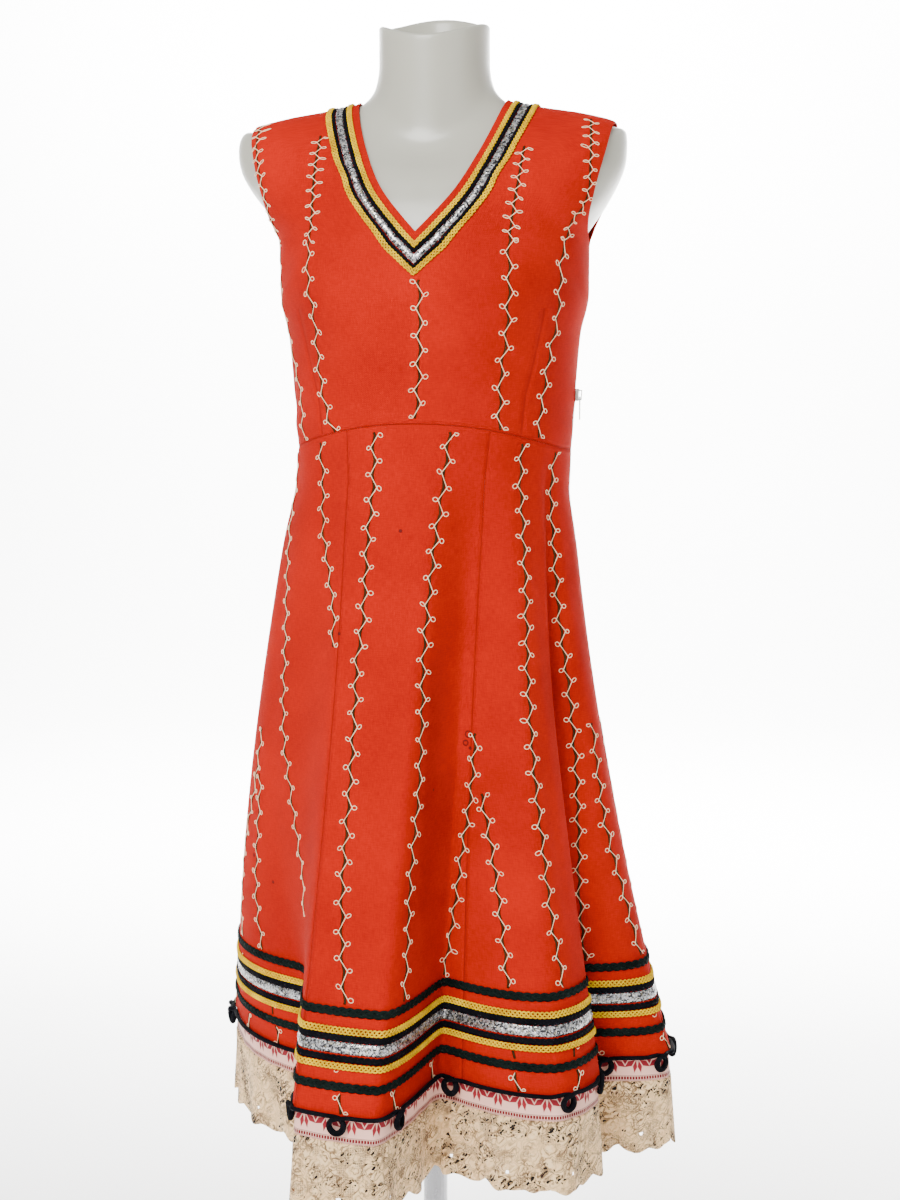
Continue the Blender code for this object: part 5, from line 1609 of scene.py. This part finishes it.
BACK_SKIRT_VINES = (
    ((194.0, 0.01), (195.0, 0.3), (197.0, 0.6), (198.0, 0.997)),
    ((167.0, 0.01), (168.5, 0.3), (170.0, 0.6), (171.0, 0.997)),
    ((150.6, 0.465), (148.0, 0.6), (146.0, 0.8), (145.0, 0.997)),
    ((151.4, 0.465), (154.0, 0.6), (156.0, 0.8), (157.0, 0.997)),
    ((136.0, 0.01), (137.0, 0.3), (138.0, 0.6), (137.0, 0.997)),
    ((114.0, 0.01), (117.0, 0.3), (118.0, 0.6), (119.0, 0.997)),
    ((224.0, 0.01), (220.0, 0.15), (213.0, 0.25), (209.6, 0.33)),
    ((208.6, 0.5), (206.0, 0.6), (204.0, 0.8), (203.0, 0.997)),
    ((209.4, 0.5), (212.0, 0.6), (214.0, 0.8), (215.0, 0.997)),
    ((247.0, 0.01), (244.0, 0.3), (242.0, 0.6), (241.0, 0.997)),
    ((232.0, 0.20), (231.0, 0.4), (230.0, 0.7), (229.0, 0.997)),
)


ADDRESS_ROUNDS = 60
ADDRESS_DAMPING = 0.6
LEVELS_PER_METRE = 36.0


def find_address(x, z, facing):
    """Angle and level of the body point with a given x and z, on the front or back."""
    wide = np.interp(z, [1.0, 1.2, 1.3], [0.135, 0.152, 0.186])
    angle = np.degrees(np.arcsin(np.clip(x / wide, -0.97, 0.97)))
    angle = angle if facing > 0 else 180.0 * np.sign(x + 1e-9) - angle
    level = low_level(np.minimum(z, UNDERARM_Z)) + np.maximum(z - UNDERARM_Z, 0.0) * LEVELS_PER_METRE
    for _ in range(ADDRESS_ROUNDS):
        here = body_base(angle, level)
        da = (body_base(angle + 0.3, level) - here) / 0.3
        dl = (body_base(angle, level + 0.03) - here) / 0.03
        rx = x - here[..., 0]
        rz = z - here[..., 2]
        det = da[..., 0] * dl[..., 2] - da[..., 2] * dl[..., 0]
        det = np.where(np.abs(det) < 1e-9, 1e-9, det)
        turn = np.clip((rx * dl[..., 2] - rz * dl[..., 0]) / det, -6.0, 6.0)
        lift = np.clip((da[..., 0] * rz - da[..., 2] * rx) / det, -0.6, 0.6)
        angle = angle + turn * ADDRESS_DAMPING
        level = level + lift * ADDRESS_DAMPING
        level = np.clip(level, 2.0, 15.2)
    return angle, level


class Ground:
    """A path on the bodice or the skirt, and points near it given in metres."""

    def __init__(self, surface, first, second):
        self.surface = surface
        self.first = np.asarray(first, float)
        self.second = np.asarray(second, float)
        points = surface(self.first, self.second, WALL)
        self.run = run_lengths(points)
        self.length = float(self.run[-1])

    def at(self, run, across, out):
        a = np.interp(run, self.run, self.first)
        b = np.interp(run, self.run, self.second)
        ends = []
        for near in (run + 0.004, run - 0.004):
            first = np.interp(near, self.run, self.first)
            ends.append(self.surface(first, np.interp(near, self.run, self.second), 0.0))
        along = ends[0] - ends[1]
        along = along / np.maximum(np.linalg.norm(along, axis=-1, keepdims=True), 1e-9)
        step_a = (self.surface(a + 0.5, b, 0.0) - self.surface(a - 0.5, b, 0.0))
        step_b = (self.surface(a, b + 0.004, 0.0) - self.surface(a, b - 0.004, 0.0)) / 0.008
        normal = np.cross(step_a, step_b)
        if self.surface is skirt:
            normal = -normal
        side = np.cross(along, unit(normal))
        aa = np.sum(step_a * step_a, axis=-1)
        bb = np.sum(step_b * step_b, axis=-1)
        ab = np.sum(step_a * step_b, axis=-1)
        da = np.sum(step_a * side, axis=-1) * across
        db = np.sum(step_b * side, axis=-1) * across
        det = aa * bb - ab * ab
        return self.surface(a + (da * bb - db * ab) / det, b + (db * aa - da * ab) / det, WALL + out)


def vine_strokes(start, end, stitch, wide, long_ring, wide_ring, rng):
    """Run and across of one thread with a ring at each corner, from start to end."""
    run = []
    across = []
    corners = []
    count = max(2, int(round((end - start) / stitch)))
    side = 1.0 if rng.random() < 0.5 else -1.0
    for k in range(count + 1):
        corner = start + (end - start) * k / count + rng.uniform(-0.07, 0.07) * stitch
        reach = wide * (1.0 + rng.uniform(-0.10, 0.10))
        long_size = long_ring * (1.0 + rng.uniform(-0.15, 0.15))
        wide_size = wide_ring * (1.0 + rng.uniform(-0.15, 0.15))
        tilt = rng.uniform(-0.35, 0.35)
        if run:
            steps = max(2, int(stitch / 0.0035))
            for i in range(1, steps):
                part = i / steps
                run.append(last_run + (corner - last_run) * part)
                across.append(last_across + (side * reach - last_across) * part)
        turns = 10
        for i in range(turns + 1):
            turn = TAU * i / turns
            away = wide_size * (1.0 - math.cos(turn))
            run.append(corner + long_size * math.sin(turn) + tilt * away)
            across.append(side * (reach + away))
        last_run = corner
        last_across = side * reach
        corners.append((corner, side * reach))
        side = -side
    return np.array(run), np.array(across), np.array(corners)


def thread_parts(ground, run, across, lift, radius, sides, skip, flat=1.0):
    """Rings of one thread, cut where it goes under a braid."""
    keep = ~skip(ground, run)
    parts = []
    start = None
    for i in range(len(run) + 1):
        inside = i < len(run) and keep[i]
        if inside and start is None:
            start = i
        if not inside and start is not None:
            if i - start > 3:
                parts.append((start, i))
            start = None
    made = []
    for a, b in parts:
        centre = ground.at(run[a:b], across[a:b], lift)
        above = ground.at(run[a:b], across[a:b], lift + 0.001)
        tangent = np.gradient(centre, axis=0)
        tangent = tangent / np.maximum(np.linalg.norm(tangent, axis=1, keepdims=True), 1e-9)
        normal = above - centre
        normal = normal - tangent * np.sum(normal * tangent, axis=1, keepdims=True)
        normal = unit(normal)
        side = np.cross(tangent, normal)
        ring = []
        for m in range(sides):
            turn = TAU * m / sides
            ring.append(centre + radius * (side * math.cos(turn) - normal * flat * math.sin(turn)))
        made.append(np.stack(ring, axis=1))
    return made


def under_braid(ground, run):
    """True where a point of a skirt path lies under one of the hem braids."""
    if ground.surface is not skirt:
        return np.zeros(len(run), bool)
    z = ground.at(run, np.zeros_like(run), 0.0)[:, 2] - HEM_Z
    hidden = z < 0.001
    for _, low, width in HEM_ROWS:
        hidden |= (z > low - UNDER_BRAID) & (z < low + width + UNDER_BRAID)
    return hidden


def build_threads(name, pieces, material):
    points = []
    faces = []
    start = 0
    for rings in pieces:
        faces += [[index + start for index in face] for face in sweep(rings, False)]
        points.append(rings.reshape(-1, 3))
        start += rings.shape[0] * rings.shape[1]
    made = mesh_object(name, np.concatenate(points), faces, material)
    attach(made, slot="red_wool")
    return made


def embroidery(name, grounds, seed):
    rng = random.Random(seed)
    threads = []
    stems = []
    for ground, dense_until in grounds:
        if dense_until > 0.0:
            run, across, corners = vine_strokes(0.003, dense_until, DENSE_STITCH, *DENSE_SIZES, rng)
            threads += thread_parts(ground, run, across, THREAD, THREAD, 4, under_braid)
        start = max(dense_until, 0.0015)
        run, across, corners = vine_strokes(start, ground.length - 0.001, STITCH, *OPEN_SIZES, rng)
        threads += thread_parts(ground, run, across, THREAD, THREAD, 4, under_braid)
        steps = max(6, int(ground.length / 0.0025))
        run = np.linspace(0.0, ground.length, steps)
        sway = STEM_SHARE * np.interp(run, corners[:, 0], corners[:, 1]) + STEM_ASIDE
        sway = np.where(run < corners[0, 0], STEM_ASIDE, sway)
        stem = STEM if ground.surface is bodice else SKIRT_STEM
        stems += thread_parts(ground, run, sway, 0.00010, stem, 6, under_braid, STEM_FLAT)
    build_threads("stitch_" + name, threads, CREAM)
    build_threads("stem_" + name, stems, OLIVE)


def bodice_ground(knots, facing):
    heights = np.array([row[0] for row in knots])
    places = SoftCurve(heights[::-1], np.array([row[1] for row in knots])[::-1])
    z = np.linspace(heights[0], heights[-1], 160)
    angle, level = find_address(places(z), z, facing)
    ground = Ground(bodice, angle, level)
    dense = float(np.interp(-DENSE_ABOVE, -z, ground.run)) if heights[0] > 1.28 else 0.0
    return ground, dense


def skirt_ground(knots):
    drops = np.array([row[1] for row in knots])
    curve = SoftCurve(drops, np.array([row[0] for row in knots]))
    drop = np.linspace(drops[0], drops[-1], 240)
    return Ground(skirt, curve(drop), drop), 0.0


embroidery("bodice_front", [bodice_ground(knots, 1) for knots in BODICE_VINES], 11)
embroidery("bodice_back", [bodice_ground(knots, -1) for knots in BACK_BODICE_VINES], 12)
embroidery("skirt_front", [skirt_ground(knots) for knots in SKIRT_VINES], 13)
embroidery("skirt_back", [skirt_ground(knots) for knots in BACK_SKIRT_VINES], 14)


# Zip
ZIP_TOP = 1.087
ZIP_BOTTOM = 0.928
ZIP_TAPE_HALF = 0.0080
SLIDER_Z = 1.071
TOOTH_PITCH = 0.0026
TOOTH_SIZE = (0.0022, 0.0027, 0.0010)
TOOTH_ASIDE = 0.00055
SLIDER_HALF = 0.0058


def zip_side(z, out):
    z = np.asarray(z, float)
    upper = body(90.0, low_level(np.maximum(z, SIDE_SEAM_Z)), out)
    lower = skirt_base(90.0, (SIDE_SEAM_Z - np.minimum(z, SIDE_SEAM_Z)) / (SIDE_SEAM_Z - HEM_Z))
    lower = lower + np.array([1.0, 0.0, 0.0]) * out
    made = np.where((z >= SIDE_SEAM_Z)[..., None], upper, lower)
    made[..., 2] = z
    return made


def box_points(size, centre):
    corners = []
    for x in (-0.5, 0.5):
        for y in (-0.5, 0.5):
            for z in (-0.5, 0.5):
                corner = zip(centre, (x, y, z), size)
                corners.append(tuple(middle + share * whole for middle, share, whole in corner))
    return corners


BOX_FACES = ((0, 1, 3, 2), (4, 6, 7, 5), (0, 4, 5, 1), (2, 3, 7, 6), (0, 2, 6, 4), (1, 5, 7, 3))


def zip_parts():
    heights = np.linspace(ZIP_BOTTOM, ZIP_TOP, 64)
    sides = np.linspace(-ZIP_TAPE_HALF, ZIP_TAPE_HALF, 9)
    inner = []
    outer = []
    uv = []
    for side in sides:
        bow = side * side / 0.15
        spot = zip_side(heights, 0.0)
        spot[:, 0] -= bow
        spot[:, 1] += side
        outer.append(spot - np.array([0.0009, 0.0, 0.0]))
        inner.append(spot - np.array([0.0017, 0.0, 0.0]))
        uv.append(np.stack([np.full_like(heights, side), heights], axis=-1))
    cells = grid_cells(len(sides), len(heights), True)
    tape = sheet_mesh(
        "zip_tape_cloth", np.concatenate(inner), np.concatenate(outer), cells, TAPE, np.concatenate(uv),
    )
    attach(tape, "zip_tape", slot="zip_tape")
    points = []
    faces = []
    count = int((ZIP_TOP - ZIP_BOTTOM) / TOOTH_PITCH * 2.0)
    for k in range(count):
        z = ZIP_BOTTOM + 0.001 + (ZIP_TOP - ZIP_BOTTOM - 0.002) * k / (count - 1)
        if abs(z - SLIDER_Z) < SLIDER_HALF:
            continue
        side = 1.0 if k % 2 else -1.0
        spot = zip_side(z, 0.0006)
        start = len(points)
        points += box_points(TOOTH_SIZE, (spot[0], side * TOOTH_ASIDE, z))
        faces += [[start + i for i in face] for face in BOX_FACES]
    teeth = mesh_object("zip_teeth", points, faces, NICKEL)
    teeth.data.set_sharp_from_angle(angle=math.radians(30.0))
    attach(teeth, "zip_chain", slot="zip_metal")


zip_parts()
METAL_NODES = (
    ("zip_slider", NICKEL), ("zip_pull", NICKEL), ("stand_base", STEEL), ("stand_pole", STEEL),
)
for node, metal in METAL_NODES:
    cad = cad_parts[node]
    cad.data.materials.clear()
    cad.data.materials.append(metal)


# Stage, lights and camera
FLOOR_REACH = 14.0
SWEEP_START = 3.8
SWEEP_BEND = 1.2
SWEEP_TOP = 4.2
BEND_STEPS = 16
WORLD_STRENGTH = 0.60
LIGHTS = (
    # name, width and height, watts, place, target, spread in degrees
    ("key", (1.3, 1.5), 134.0, (-0.60, -2.30, 2.80), (0.0, 0.0, 0.95), 180.0),
    ("fill", (1.8, 2.2), 13.0, (2.3, -1.8, 1.6), (0.0, 0.0, 0.9), 180.0),
    ("low_front", (1.6, 0.7), 16.0, (-0.8, -2.3, 0.45), (0.0, 0.0, 0.30), 180.0),
    ("back_left", (1.0, 2.0), 6.0, (-1.6, 1.6, 2.0), (0.0, 0.0, 1.0), 180.0),
    ("back_right", (1.0, 2.0), 11.0, (1.7, 1.5, 2.0), (0.0, 0.0, 1.0), 180.0),
    ("wall_wash", (5.0, 1.2), 1500.0, (0.0, 2.8, 2.7), (0.0, 5.0, 1.4), 180.0),
    ("floor_wash", (4.0, 1.2), 330.0, (0.0, 2.0, 2.9), (0.0, 2.05, 0.0), 80.0),
)


def stage():
    points = []
    faces = []
    profile = [(-FLOOR_REACH, 0.0), (SWEEP_START, 0.0)]
    for k in range(1, BEND_STEPS + 1):
        turn = 0.5 * math.pi * k / BEND_STEPS
        profile.append((SWEEP_START + SWEEP_BEND * math.sin(turn), SWEEP_BEND * (1.0 - math.cos(turn))))
    profile.append((SWEEP_START + SWEEP_BEND, SWEEP_TOP))
    for y, z in profile:
        points += [(-FLOOR_REACH, y, z), (FLOOR_REACH, y, z)]
    for k in range(len(profile) - 1):
        faces.append([2 * k, 2 * k + 1, 2 * k + 3, 2 * k + 2])
    n = Nodes("pale_floor")
    tone = n.noise(1.5, 2.0, 0.5)
    n.finish(n.mix(tone, rgb(0.86, 0.86, 0.855), rgb(0.90, 0.90, 0.895)), 0.9, specular=0.1)
    made = mesh_object("studio_sweep", points, faces, n.material)
    made.rotation_euler = (0.0, 0.0, CAMERA_ANGLE)


def area_light(name, size, power, place, target, spread):
    data = bpy.data.lights.new(name, "AREA")
    data.shape = "RECTANGLE"
    data.size, data.size_y = size
    data.energy = power
    data.spread = math.radians(spread)
    made = bpy.data.objects.new(name, data)
    made.location = place
    way = Vector(target) - Vector(place)
    made.rotation_euler = way.to_track_quat("-Z", "Y").to_euler()
    made.visible_camera = False
    bpy.context.scene.collection.objects.link(made)


def camera():
    right = Vector((math.cos(CAMERA_ANGLE), math.sin(CAMERA_ANGLE), 0.0))
    back = Vector((math.sin(CAMERA_ANGLE), -math.cos(CAMERA_ANGLE), 0.0))
    place = back * CAMERA_DISTANCE + right * CAMERA_SIDE + Vector((0.0, 0.0, CAMERA_HEIGHT))
    pitch = math.atan2(CAMERA_HEIGHT - CAMERA_AIM, CAMERA_DISTANCE)
    backward = back * math.cos(pitch) + Vector((0.0, 0.0, math.sin(pitch)))
    up = backward.cross(right)
    turn = Matrix((right, up, backward)).transposed().to_4x4()
    data = bpy.data.cameras.new("photo_view")
    data.sensor_fit = "VERTICAL"
    data.sensor_height = 36.0
    data.lens = CAMERA_LENS
    made = bpy.data.objects.new("photo_view", data)
    made.matrix_world = Matrix.Translation(place) @ turn
    bpy.context.scene.collection.objects.link(made)
    bpy.context.scene.camera = made


stage()
for light in LIGHTS:
    area_light(*light)
world = bpy.data.worlds.new("studio_air")
world.use_nodes = True
air = world.node_tree.nodes["Background"]
air.inputs[0].default_value = (1.0, 1.0, 1.0, 1.0)
air.inputs[1].default_value = WORLD_STRENGTH
bpy.context.scene.world = world
camera()
